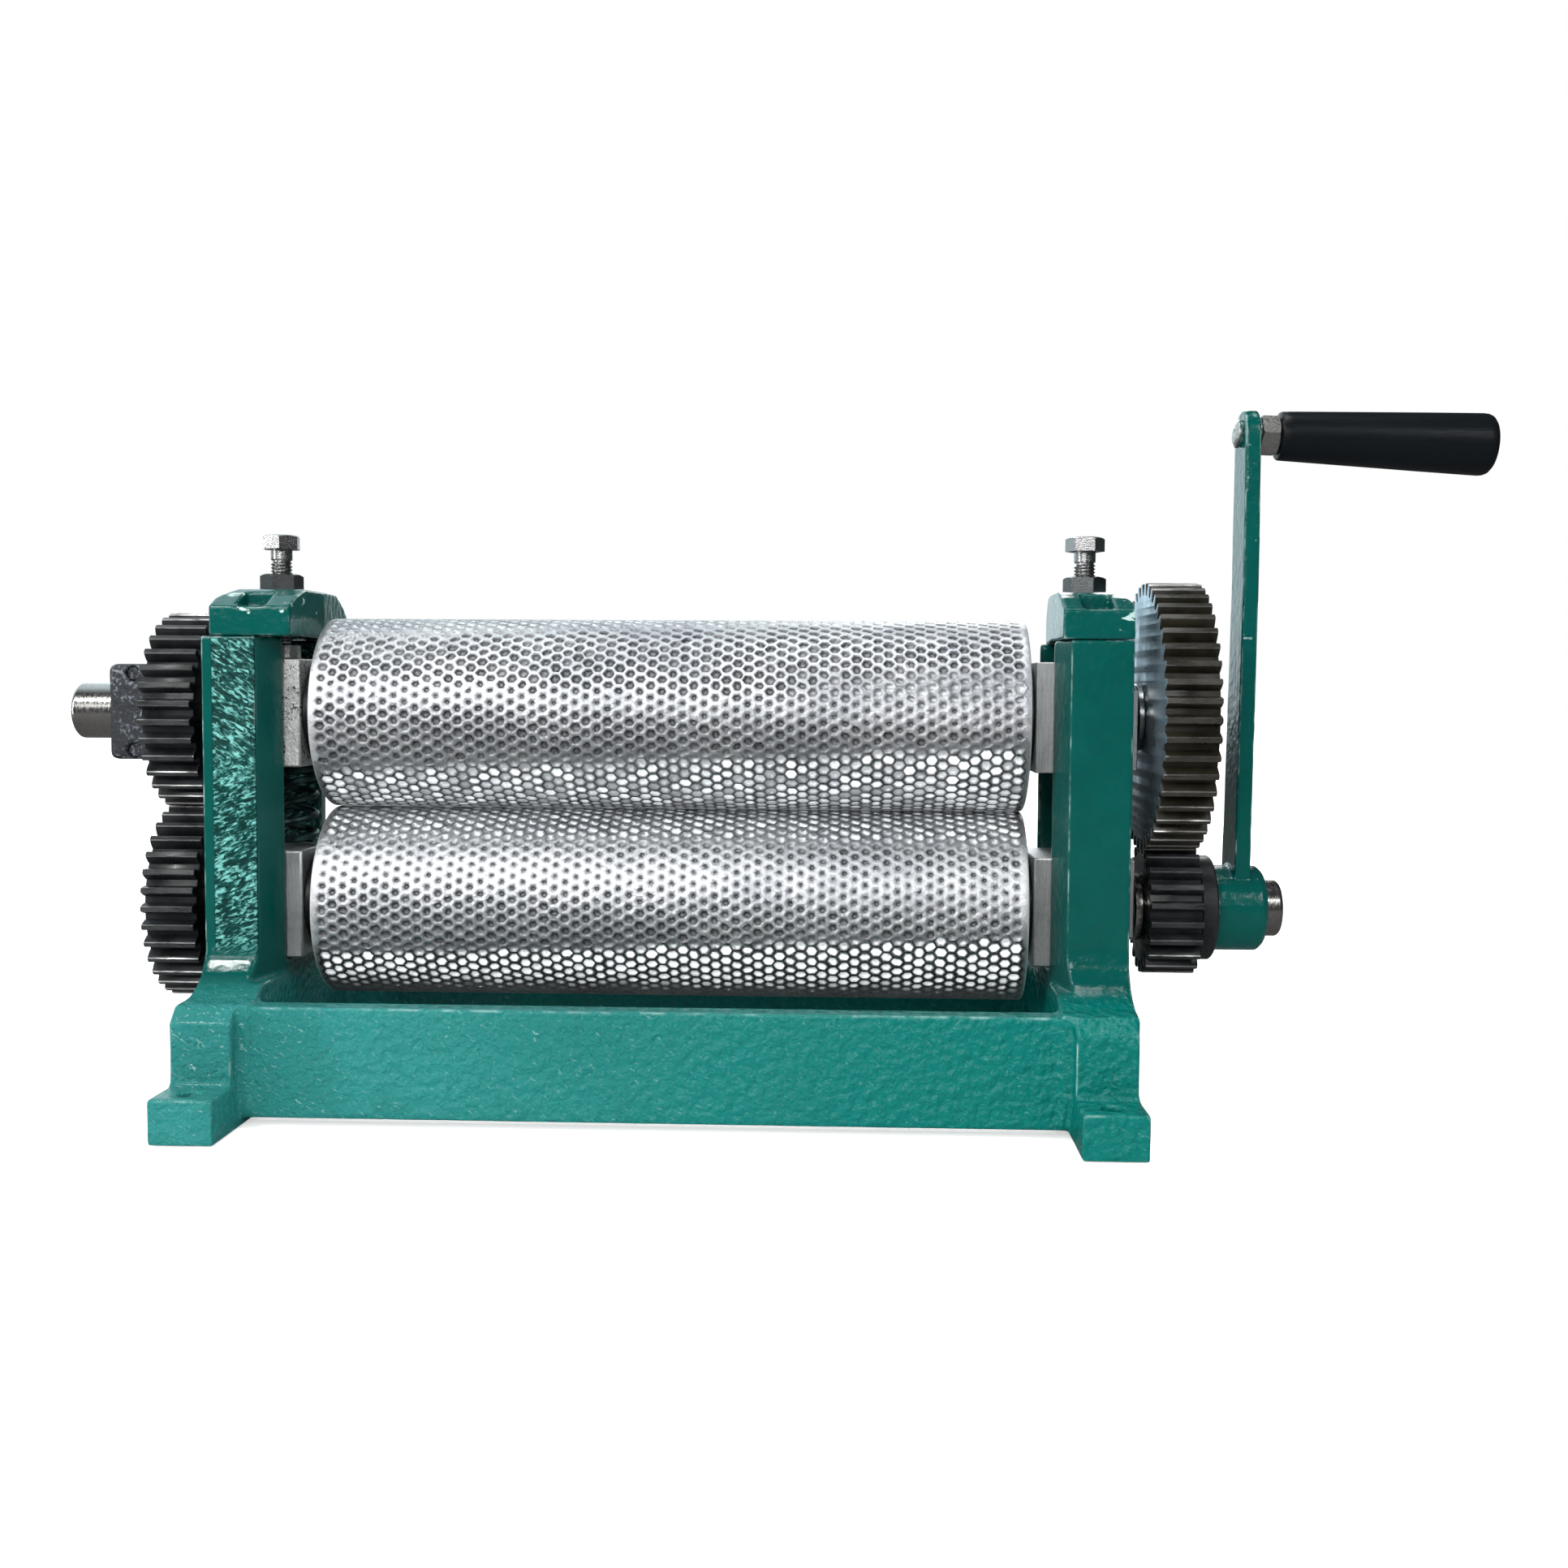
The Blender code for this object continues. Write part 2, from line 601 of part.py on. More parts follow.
def make_cap(side_name):
    """The cap over an upright, with a plateau for the lock nut and a pocket at each
    shoulder for the head of a cap screw."""
    side = SIDES[side_name]
    leg = UPRIGHT_DEPTH / 2
    middle = side * CAP_MIDDLE[side_name]
    shoulder_y = (leg + CAP_PLATEAU_DEPTH / 2) / 2
    shoulder_z = CAP_SIDE_HEIGHT + (CAP_HEIGHT - CAP_SIDE_HEIGHT) * CAP_SHOULDER_SHARE
    right_half = [
        (leg, 0),
        (leg, CAP_SIDE_HEIGHT),
        (shoulder_y, shoulder_z),
        (CAP_PLATEAU_DEPTH / 2, CAP_HEIGHT),
    ]
    outline = right_half + [(-y, z) for y, z in reversed(right_half)]
    cap = plate(
        side_name + "_cap",
        [outline],
        CAP_WIDTH[side_name],
        (middle, 0, CAP_BOTTOM_Z),
        ACROSS_X,
        "frame",
        "painted_casting",
    )
    bore = rod(
        side_name + "_cap_bore",
        (side * ADJUSTER_LINE[side_name], 0, CAP_BOTTOM_Z + CAP_HEIGHT / 2),
        ADJUSTER_DIAMETER / 2 + BORE_GAP,
        CAP_HEIGHT + 2 * CUT_THROUGH,
        (0, 0, 1),
        "frame",
    )
    inner = side * CAP_INNER[side_name]
    outer = side * (CAP_INNER[side_name] + CAP_WIDTH[side_name])
    past = side * CUT_THROUGH
    taper = plate(
        side_name + "_cap_taper",
        [[(inner - past, 0), (inner, 0), (inner + side * CAP_TAPER, leg), (inner - past, leg)]],
        2 * (CAP_HEIGHT + CUT_THROUGH),
        (0, 0, CAP_BOTTOM_Z),
        (0, 0, 0),
        "frame",
    )
    chamfer = plate(
        side_name + "_cap_chamfer",
        [
            [
                (outer - side * CAP_OUTER_CHAMFER - past, CAP_TOP_Z + CUT_THROUGH),
                (outer + past, CAP_TOP_Z + CUT_THROUGH),
                (outer + past, CAP_TOP_Z - CAP_OUTER_CHAMFER - CUT_THROUGH),
            ]
        ],
        UPRIGHT_DEPTH + 2 * CUT_THROUGH,
        (0, 0, 0),
        FACING_FRONT,
        "frame",
    )
    cut(cap, bore, taper, chamfer)
    for front in (-1, 1):
        where = "front" if front < 0 else "back"
        y = front * CAP_SCREW_Y
        reach = CAP_SCREW_HEAD / 2 + SEAT_GAP
        near, far = y - front * reach, front * (leg + CUT_THROUGH)
        pocket = box(
            f"{side_name}_cap_pocket_{where}",
            (middle - CAP_POCKET_WIDTH / 2, min(near, far), CAP_POCKET_Z),
            (middle + CAP_POCKET_WIDTH / 2, max(near, far), CAP_TOP_Z + CUT_THROUGH),
            "frame",
        )
        hole = rod(
            f"{side_name}_cap_hole_{where}",
            (middle, y, CAP_BOTTOM_Z + CAP_SIDE_HEIGHT / 2),
            CAP_SCREW_DIAMETER / 2 + BORE_GAP,
            CAP_SIDE_HEIGHT + 2 * CUT_THROUGH,
            (0, 0, 1),
            "frame",
        )
        seat = rod(
            f"{side_name}_cap_seat_{where}",
            (middle, y, (CAP_SEAT_Z + CAP_TOP_Z) / 2),
            CAP_SCREW_HEAD / 2 + SEAT_GAP,
            CAP_TOP_Z - CAP_SEAT_Z,
            (0, 0, 1),
            "frame",
        )
        cut(cap, pocket, seat, hole)
        head_bottom = CAP_SEAT_Z + SEAT_GAP
        top = head_bottom + CAP_SCREW_HEAD_HEIGHT
        socket_bottom = top - CAP_SCREW_SOCKET_DEPTH
        socket_radius = CAP_SCREW_SOCKET / 2
        bottom = UPRIGHT_TOP_Z - CAP_SCREW_DEPTH
        turned(
            f"{side_name}_cap_screw_{where}",
            (middle, y, 0),
            [
                (top, CAP_SCREW_HEAD / 2),
                (head_bottom, CAP_SCREW_HEAD / 2),
                (head_bottom, CAP_SCREW_DIAMETER / 2),
                (bottom, CAP_SCREW_DIAMETER / 2),
                (bottom, 0),
            ],
            "frame",
            "zinc_steel",
            bore=[(socket_bottom, 0), (socket_bottom, socket_radius), (top, socket_radius)],
            steps=SMALL_STEPS,
            rotation=(0, 0, 0),
        )


def make_block(side_name, level):
    """A bearing block with its bronze bush."""
    side = SIDES[side_name]
    body = "frame" if level == "lower" else "upper_bearings"
    z = LEVELS[level]
    name = f"{level}_{side_name}_block"
    inner, outer = side * BLOCK_FACE[side_name], side * (UPRIGHT_OUTER[side_name] - SEAT_GAP)
    half_y, half_z = BLOCK_DEPTH / 2, BLOCK_HEIGHT / 2
    block = box(
        name,
        (min(inner, outer), -half_y, z - half_z),
        (max(inner, outer), half_y, z + half_z),
        body,
        "bare_steel",
    )
    if side_name == "right":
        shift = OUTER_BOSS_SHIFT * (1 if level == "lower" else -1)
        boss_z = z + shift
        boss = box(
            name + "_boss",
            (outer - CUT_THROUGH, -OUTER_BOSS_HEIGHT / 2, boss_z - OUTER_BOSS_HEIGHT / 2),
            (outer + OUTER_BOSS_LENGTH, OUTER_BOSS_HEIGHT / 2, boss_z + OUTER_BOSS_HEIGHT / 2),
            body,
        )
        join(block, boss)
    bush_radius = SHAFT_BORE + BUSH_WALL
    length = abs(outer - inner) + 2 * (OUTER_BOSS_LENGTH + CUT_THROUGH)
    middle = (inner + outer) / 2
    bore = rod(
        name + "_bore", (middle, 0, z), bush_radius + BORE_GAP, length, (1, 0, 0), body,
        steps=ROUND_STEPS,
    )
    cut(block, bore)
    start, end = BLOCK_FACE[side_name], UPRIGHT_OUTER[side_name] - SEAT_GAP
    ring(f"{level}_{side_name}_bush", start, end, bush_radius, SHAFT_BORE, z, body, "bronze", side)


def make_spring(side_name):
    """The coil spring that holds the upper bearing block up against its adjusting screw."""
    bottom = LOWER_AXIS_Z + BLOCK_HEIGHT / 2 + SEAT_GAP + SPRING_WIRE / 2
    top = UPPER_AXIS_Z - BLOCK_HEIGHT / 2 - SEAT_GAP - SPRING_WIRE / 2
    radius = (SPRING_DIAMETER - SPRING_WIRE) / 2
    count = SPRING_TURNS * SPRING_STEPS
    curve = bpy.data.curves.new(side_name + "_spring", "CURVE")
    curve.dimensions = "3D"
    curve.bevel_depth = SPRING_WIRE / 2
    curve.bevel_resolution = 2
    curve.use_fill_caps = True
    spline = curve.splines.new("POLY")
    spline.points.add(count)
    closed_share = SPRING_CLOSED_TURNS / SPRING_TURNS
    closing = SPRING_WIRE * SPRING_CLOSED_PITCH
    low, high = bottom + closing, top - closing
    for i, point in enumerate(spline.points):
        along = i / count
        rise = min(max((along - closed_share) / (1 - 2 * closed_share), 0), 1)
        closed = closing * (min(along, closed_share) / closed_share - 1)
        closed += closing * max(along - 1 + closed_share, 0) / closed_share
        angle = 2 * math.pi * i / SPRING_STEPS
        height = low + (high - low) * rise + closed
        point.co = (radius * math.cos(angle), radius * math.sin(angle), height, 1)
    place = (SIDES[side_name] * SPRING_PLACE[side_name], 0, 0)
    add_object(side_name + "_spring", curve, "frame", place, (0, 0, 0), "bare_steel")


def make_adjuster(side_name):
    """The adjusting screw through the cap, its lock nut, and the pad that it presses."""
    x = SIDES[side_name] * ADJUSTER_LINE[side_name]
    pad_bottom = UPPER_AXIS_Z + BLOCK_HEIGHT / 2 + SEAT_GAP
    pad_middle = (x, 0, pad_bottom + PAD_HEIGHT / 2)
    rod(f"{side_name}_pad", pad_middle, PAD_DIAMETER / 2, PAD_HEIGHT, (0, 0, 1),
        "upper_bearings", "bare_steel")
    tip = pad_bottom + PAD_HEIGHT + SEAT_GAP
    head_bottom = CAP_TOP_Z + ADJUSTER_STICKOUT
    screw = rod(
        f"{side_name}_adjusting_screw",
        (x, 0, head_bottom + ADJUSTER_HEAD_HEIGHT / 2),
        hexagon_radius(ADJUSTER_HEAD_ACROSS),
        ADJUSTER_HEAD_HEIGHT,
        (0, 0, 1),
        f"{side_name}_screw",
        "zinc_steel",
        steps=6,
    )
    shank_top = head_bottom + ADJUSTER_HEAD_HEIGHT / 2
    shank = rod(
        f"{side_name}_adjuster_shank",
        (x, 0, (tip + shank_top) / 2),
        ADJUSTER_DIAMETER / 2,
        shank_top - tip,
        (0, 0, 1),
        f"{side_name}_screw",
    )
    join(screw, shank)
    nut_place = (x, 0, CAP_TOP_Z + SEAT_GAP + LOCK_NUT_HEIGHT / 2)
    nut = rod(f"{side_name}_lock_nut", nut_place, hexagon_radius(LOCK_NUT_ACROSS),
              LOCK_NUT_HEIGHT, (0, 0, 1), f"{side_name}_nut", "zinc_steel", steps=6)
    thread = rod(f"{side_name}_lock_nut_bore", nut_place, ADJUSTER_DIAMETER / 2 + BORE_GAP,
                 LOCK_NUT_HEIGHT + CUT_THROUGH, (0, 0, 1), f"{side_name}_nut")
    cut(nut, thread)


def make_roller(level):
    """An engraved roller, pressed on the wide middle of its shaft."""
    half = ROLLER_LENGTH / 2
    body = f"{level}_roller"
    z = LEVELS[level]
    bore = ROLLER_SEAT_DIAMETER / 2 + BORE_GAP
    turned(
        body,
        (0, 0, z),
        [
            (half, ROLLER_RADIUS - ROLLER_EDGE),
            (half - ROLLER_EDGE, ROLLER_RADIUS),
            (-half + ROLLER_EDGE, ROLLER_RADIUS),
            (-half, ROLLER_RADIUS - ROLLER_EDGE),
        ],
        body,
        "aluminium",
        bore=[(-half, bore), (half, bore)],
        steps=ROLLER_STEPS,
    )
    for side_name, side in SIDES.items():
        start = half + SEAT_GAP
        ring(f"{level}_{side_name}_collar", start, start + COLLAR_LENGTH[side_name],
             COLLAR_DIAMETER / 2, SHAFT_BORE, z, body, "black_gear_steel", side)


def make_shaft(level, left_end, right_end, groove=None):
    """A shaft with a wide middle under the roller. groove is the middle of a groove."""
    half = ROLLER_LENGTH / 2 - SEAT_GAP
    seat, journal, bevel = ROLLER_SEAT_DIAMETER / 2, SHAFT_RADIUS, SHAFT_EDGE
    outer = [(right_end, journal - bevel), (right_end - bevel, journal)]
    if groove:
        wide = GRUB_DIAMETER / 2 + SEAT_GAP
        deep = journal - GRUB_GROOVE_DEPTH - SEAT_GAP
        outer += [(groove + wide, journal), (groove + wide, deep)]
        outer += [(groove - wide, deep), (groove - wide, journal)]
    outer += [(half, journal), (half, seat), (-half, seat), (-half, journal)]
    outer += [(-left_end + bevel, journal), (-left_end, journal - bevel)]
    name = f"{level}_shaft"
    return turned(name, (0, 0, LEVELS[level]), outer, f"{level}_roller", "bare_steel")


def make_end_fastening(name, shaft, shaft_end, level, side, body):
    """A washer and a hexagon screw in the end of a shaft, which hold its gear on."""
    z = LEVELS[level]
    start = shaft_end + SEAT_GAP
    washer_end = start + END_WASHER_THICKNESS
    ring(f"{name}_washer", start, washer_end, END_WASHER_DIAMETER / 2,
         END_SCREW_DIAMETER / 2 + BORE_GAP, z, body, "zinc_steel", side)
    head = washer_end + SEAT_GAP
    screw = rod(
        f"{name}_screw",
        (side * (head + END_SCREW_HEAD_HEIGHT / 2), 0, z),
        hexagon_radius(END_SCREW_HEAD_ACROSS),
        END_SCREW_HEAD_HEIGHT,
        (1, 0, 0),
        body,
        "zinc_steel",
        steps=6,
    )
    tip, root = shaft_end - END_SCREW_DEPTH, head + END_SCREW_HEAD_HEIGHT / 2
    shank = rod(f"{name}_shank", (side * (tip + root) / 2, 0, z), END_SCREW_DIAMETER / 2,
                root - tip, (1, 0, 0), body)
    join(screw, shank)
    depth = END_SCREW_DEPTH + SEAT_GAP + CUT_THROUGH
    hole = rod(f"{name}_tapping", (side * (shaft_end + CUT_THROUGH - depth / 2), 0, z),
               END_SCREW_DIAMETER / 2 + BORE_GAP, depth, (1, 0, 0), body)
    cut(shaft, hole)


def make_timing_hub(body):
    """The square clamping hub outside the upper timing gear, with its two cross screws."""
    start = GEAR_OUTER["left"] + SEAT_GAP
    half = TIMING_HUB_SIDE / 2
    z = UPPER_AXIS_Z
    hub = box("timing_hub", (-start - TIMING_HUB_LENGTH, -half, z - half),
              (-start, half, z + half), body, "black_gear_steel", bevel=TIMING_HUB_EDGE)
    middle = start + TIMING_HUB_LENGTH / 2
    bore = rod("timing_hub_bore", (-middle, 0, z), SHAFT_BORE,
               TIMING_HUB_LENGTH + 2 * CUT_THROUGH, (1, 0, 0), body, steps=ROUND_STEPS)
    cut(hub, bore)
    for place, sign in (("upper", 1), ("lower", -1)):
        screw_z = z + sign * TIMING_HUB_SCREW_SPACING / 2
        radius = TIMING_HUB_SCREW_DIAMETER / 2
        hole = rod(f"timing_hub_hole_{place}", (-middle, 0, screw_z), radius + BORE_GAP,
                   TIMING_HUB_SIDE + 2 * CUT_THROUGH, (0, 1, 0), body)
        cut(hub, hole)
        rod(f"timing_hub_screw_{place}", (-middle, 0, screw_z), radius,
            TIMING_HUB_SIDE - 2 * TIMING_HUB_SCREW_INSET, (0, 1, 0), body, "bare_steel")


def make_upper_train():
    """Everything that turns with the upper roller."""
    body = "upper_roller"
    make_roller("upper")
    wheel_end = GEAR_OUTER["right"]
    shaft = make_shaft("upper", UPPER_SHAFT_END, wheel_end)
    gear("upper_timing_gear", TIMING_TEETH, -90, GEAR_INNER["left"], "upper", -1, body,
         "black_gear_steel")
    gear("drive_wheel", WHEEL_TEETH, 180, GEAR_INNER["right"], "upper", 1, body,
         "brown_gear_steel")
    key("upper_timing_key", shaft, GEAR_INNER["left"], "upper", -1, body)
    key("drive_wheel_key", shaft, GEAR_INNER["right"], "upper", 1, body)
    make_timing_hub(body)
    make_end_fastening("drive_wheel", shaft, wheel_end, "upper", 1, body)
    for side_name, side in SIDES.items():
        boss = OUTER_BOSS_LENGTH if side_name == "right" else 0
        start = UPRIGHT_OUTER[side_name] + boss + SEAT_GAP
        ring(f"upper_{side_name}_spacer", start, GEAR_INNER[side_name] - SEAT_GAP,
             SHAFT_RADIUS + SPACER_WALL, SHAFT_BORE, UPPER_AXIS_Z, body, "bare_steel", side)


def make_lower_train():
    """Everything that turns with the lower roller."""
    body = "lower_roller"
    make_roller("lower")
    groove = (CRANK_HUB_START + CRANK_HUB_END) / 2
    shaft = make_shaft("lower", GEAR_OUTER["left"], LOWER_SHAFT_END, groove)
    half_pitch = 180 / TIMING_TEETH
    gear("lower_timing_gear", TIMING_TEETH, 90 + half_pitch, GEAR_INNER["left"], "lower", -1,
         body, "black_gear_steel")
    key("lower_timing_key", shaft, GEAR_INNER["left"], "lower", -1, body)
    make_end_fastening("lower_timing", shaft, GEAR_OUTER["left"], "lower", -1, body)
    for side_name, side in SIDES.items():
        boss = OUTER_BOSS_LENGTH if side_name == "right" else 0
        start = UPRIGHT_OUTER[side_name] + boss + SEAT_GAP
        end = PINION_INNER if side_name == "right" else GEAR_INNER["left"]
        ring(f"lower_{side_name}_spacer", start, end - SEAT_GAP, SHAFT_RADIUS + SPACER_WALL,
             SHAFT_BORE, LOWER_AXIS_Z, body, "bare_steel", side)


def make_pinion():
    """The pinion and its flange, which is doweled to the crank's hub."""
    pinion = gear("pinion", PINION_TEETH, 90, PINION_INNER, "lower", 1, "crank",
                  "black_gear_steel", keyed=False)
    start = PINION_INNER + GEAR_WIDTH - CUT_THROUGH
    flange = ring("pinion_flange", start, PINION_FLANGE_END, PINION_FLANGE_DIAMETER / 2,
                  SHAFT_BORE, LOWER_AXIS_Z, "crank", None)
    join(pinion, flange)
    return pinion


def arm_middle(z):
    """How far the arm's middle plane stands out at a height: a slow bow outwards."""
    share = min(max((z - LOWER_AXIS_Z) / CRANK_RADIUS, 0), 1)
    return ARM_X + ARM_BOW * math.sin(math.pi * share ** ARM_BOW_SKEW) - ARM_LEAN * (1 - share)


def make_crank_arm():
    """The cast arm: a flat bar, bowed outwards, that rises from a round hub."""
    top = HANDLE_Z + ARM_WIDTH_AT_TIP / 2
    heights = [LOWER_AXIS_Z + (top - LOWER_AXIS_Z) * i / ARM_STEPS for i in range(ARM_STEPS + 1)]
    inner = [(arm_middle(z) - ARM_THICKNESS / 2, z) for z in heights]
    outer = [(arm_middle(z) + ARM_THICKNESS / 2, z) for z in reversed(heights)]
    side_view = plate("crank_side_view", [inner + outer], ARM_WIDTH_AT_HUB + 2 * CUT_THROUGH, (0, 0, 0),
                      FACING_FRONT, "crank")
    tip = ARM_WIDTH_AT_TIP / 2
    low = LOWER_AXIS_Z - CUT_THROUGH
    front_view = [(-ARM_WIDTH_AT_HUB / 2, low), (ARM_WIDTH_AT_HUB / 2, low)]
    front_view += arc((0, HANDLE_Z), tip, 0, 180, ROUND_STEPS // 3)
    width = 2 * (ARM_THICKNESS + ARM_BOW + ARM_LEAN + CUT_THROUGH)
    face_view = plate("crank_face_view", [front_view], width, (ARM_X, 0, 0), ACROSS_X, "crank")
    combine(face_view, side_view, "INTERSECT")
    arm = turned(
        "crank_arm",
        (0, 0, LOWER_AXIS_Z),
        [
            (CRANK_HUB_END, CRANK_HUB_DIAMETER / 2 - CRANK_HUB_EDGE),
            (CRANK_HUB_END - CRANK_HUB_EDGE, CRANK_HUB_DIAMETER / 2),
            (CRANK_HUB_START, CRANK_HUB_DIAMETER / 2),
        ],
        "crank",
        "painted_casting",
    )
    join(arm, face_view)
    bore = rod("crank_bore", ((CRANK_HUB_START + CRANK_HUB_END) / 2, 0, LOWER_AXIS_Z), SHAFT_BORE,
               CRANK_HUB_LENGTH + 2 * CUT_THROUGH, (1, 0, 0), "crank", steps=ROUND_STEPS)
    eye = rod("crank_eye", (arm_middle(HANDLE_Z), 0, HANDLE_Z), SPINDLE_DIAMETER / 2 + BORE_GAP,
              2 * (ARM_THICKNESS + CUT_THROUGH), grip_direction(), "crank")
    cut(arm, bore, eye)
    return arm


def grip_direction():
    return Vector((math.cos(GRIP_DROOP), 0, -math.sin(GRIP_DROOP)))


def make_crank_fastenings(arm, pinion):
    """Two dowels turn the pinion with the crank, and a grub screw rides in the groove of
    the shaft, so that neither slides off."""
    middle = PINION_FLANGE_END + SEAT_GAP / 2
    for number, side in ((1, -1), (2, 1)):
        place = (middle, side * DOWEL_CIRCLE_RADIUS, LOWER_AXIS_Z)
        rod(f"drive_dowel_{number}", place, DOWEL_DIAMETER / 2, DOWEL_LENGTH, (1, 0, 0), "crank",
            "bare_steel")
        hole = rod(f"drive_dowel_hole_{number}", place, DOWEL_DIAMETER / 2 + BORE_GAP,
                   DOWEL_LENGTH + 2 * SEAT_GAP, (1, 0, 0), "crank")
        cut(arm, hole)
        cut(pinion, hole)
    inner = SHAFT_RADIUS - GRUB_GROOVE_DEPTH
    outer = CRANK_HUB_DIAMETER / 2 - SEAT_GAP
    hub_middle = (CRANK_HUB_START + CRANK_HUB_END) / 2
    place = (hub_middle, 0, LOWER_AXIS_Z - (inner + outer) / 2)
    rod("crank_grub_screw", place, GRUB_DIAMETER / 2, outer - inner, (0, 0, 1), "crank",
        "bare_steel")
    hole_inner, hole_outer = inner, CRANK_HUB_DIAMETER / 2 + CUT_THROUGH
    hole = rod("crank_grub_hole", (hub_middle, 0, LOWER_AXIS_Z - (hole_inner + hole_outer) / 2),
               GRUB_DIAMETER / 2 + BORE_GAP, hole_outer - hole_inner, (0, 0, 1), "crank")
    cut(arm, hole)


def make_grip():
    """The spindle riveted in the arm, its hexagon collar, and the grip that turns on it.
    Places along the spindle are measured from the arm's middle plane."""
    place = (arm_middle(HANDLE_Z), 0, HANDLE_Z)
    tilt = (0, math.radians(90) + GRIP_DROOP, 0)
    radius, bevel = SPINDLE_DIAMETER / 2, SPINDLE_EDGE
    groove = GRIP_START + GRIP_BORE_DEPTH - GRIP_RING_INSET
    deep = radius - GRIP_RING_WIDTH / 2
    half_groove = GRIP_RING_THICKNESS / 2 + SEAT_GAP
    tip = GRIP_START + GRIP_BORE_DEPTH - 2 * SEAT_GAP
    rivet_end = RIVET_START
    turned(
        "crank_spindle",
        place,
        [
            (tip, radius - bevel),
            (tip - bevel, radius),
            (groove + half_groove, radius),
            (groove + half_groove, deep),
            (groove - half_groove, deep),
            (groove - half_groove, radius),
            (rivet_end, radius),
            (rivet_end, SPINDLE_RIVET_DIAMETER / 2),
            (rivet_end - SPINDLE_RIVET_LENGTH / 2, SPINDLE_RIVET_DIAMETER / 2),
            (rivet_end - SPINDLE_RIVET_LENGTH, SPINDLE_RIVET_DIAMETER / 3),
        ],
        "crank",
        "bare_steel",
        steps=SMALL_STEPS,
        rotation=tilt,
    )
    along = grip_direction()
    collar_place = Vector(place) + along * (GRIP_COLLAR_START + GRIP_COLLAR_LENGTH / 2)
    collar = rod("grip_collar", collar_place, hexagon_radius(GRIP_COLLAR_ACROSS),
                 GRIP_COLLAR_LENGTH - SEAT_GAP, along, "crank", "zinc_steel", steps=6)
    collar_bore = rod("grip_collar_bore", collar_place, radius + BORE_GAP,
                      GRIP_COLLAR_LENGTH + CUT_THROUGH, along, "crank")
    cut(collar, collar_bore)
    ring_outer = radius + GRIP_RING_WIDTH / 2
    half_ring = GRIP_RING_THICKNESS / 2
    turned(
        "grip_ring",
        place,
        [(groove + half_ring, ring_outer), (groove - half_ring, ring_outer)],
        "crank",
        "bare_steel",
        bore=[(groove - half_ring, deep + BORE_GAP), (groove + half_ring, deep + BORE_GAP)],
        steps=SMALL_STEPS,
        rotation=tilt,
    )
    near, far = GRIP_NEAR_DIAMETER / 2, GRIP_FAR_DIAMETER / 2
    body = [(GRIP_END - GRIP_DOME * back, far - GRIP_DOME * down) for back, down in GRIP_ROUNDING]
    body += [(GRIP_START + GRIP_EDGE, near), (GRIP_START, near - GRIP_EDGE)]
    clear = radius + BORE_GAP
    pocket = ring_outer + SEAT_GAP
    half_pocket = half_ring + 2 * SEAT_GAP
    bottom = GRIP_START + GRIP_BORE_DEPTH
    inside = [(GRIP_START, clear), (groove - half_pocket, clear), (groove - half_pocket, pocket),
              (groove + half_pocket, pocket), (groove + half_pocket, clear), (bottom, clear),
              (bottom, 0), (GRIP_END, 0)]
    grip = turned("grip", place, body, "grip", "black_plastic", bore=inside, steps=ROUND_STEPS,
                  rotation=tilt)
    return grip


def make_bodies():
    root = make_body("mill", CENTRE_SHIFT, 0, 0)
    make_body("frame", 0, 0, 0, root)
    make_body("upper_bearings", 0, 0, UPPER_AXIS_Z, root)
    make_body("upper_roller", 0, 0, UPPER_AXIS_Z, root)
    make_body("lower_roller", 0, 0, LOWER_AXIS_Z, root)
    make_body("crank", 0, 0, LOWER_AXIS_Z, root)
    make_body("grip", arm_middle(HANDLE_Z), 0, HANDLE_Z, root)
    for side_name, side in SIDES.items():
        x = side * ADJUSTER_LINE[side_name]
        make_body(f"{side_name}_screw", x, 0, CAP_TOP_Z, root)
        make_body(f"{side_name}_nut", x, 0, CAP_TOP_Z, root)


clear_scene()
parts = make_collection("comb_foundation_mill")
cutters = make_collection("cutters")
for look_name in LOOKS:
    materials[look_name] = make_material(look_name)
make_bodies()
make_frame()
for side_key in SIDES:
    make_cap(side_key)
    make_spring(side_key)
    make_adjuster(side_key)
    for level_key in LEVELS:
        make_block(side_key, level_key)
make_upper_train()
make_lower_train()
pinion_gear = make_pinion()
crank = make_crank_arm()
make_crank_fastenings(crank, pinion_gear)
make_grip()
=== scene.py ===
"""Looks of the comb foundation mill: castings, engraved rollers, gears and fastenings in
procedural materials, with a plain studio around them."""

import json
import math
import random

import bmesh
import bpy
import numpy as np
from mathutils import Matrix, Vector

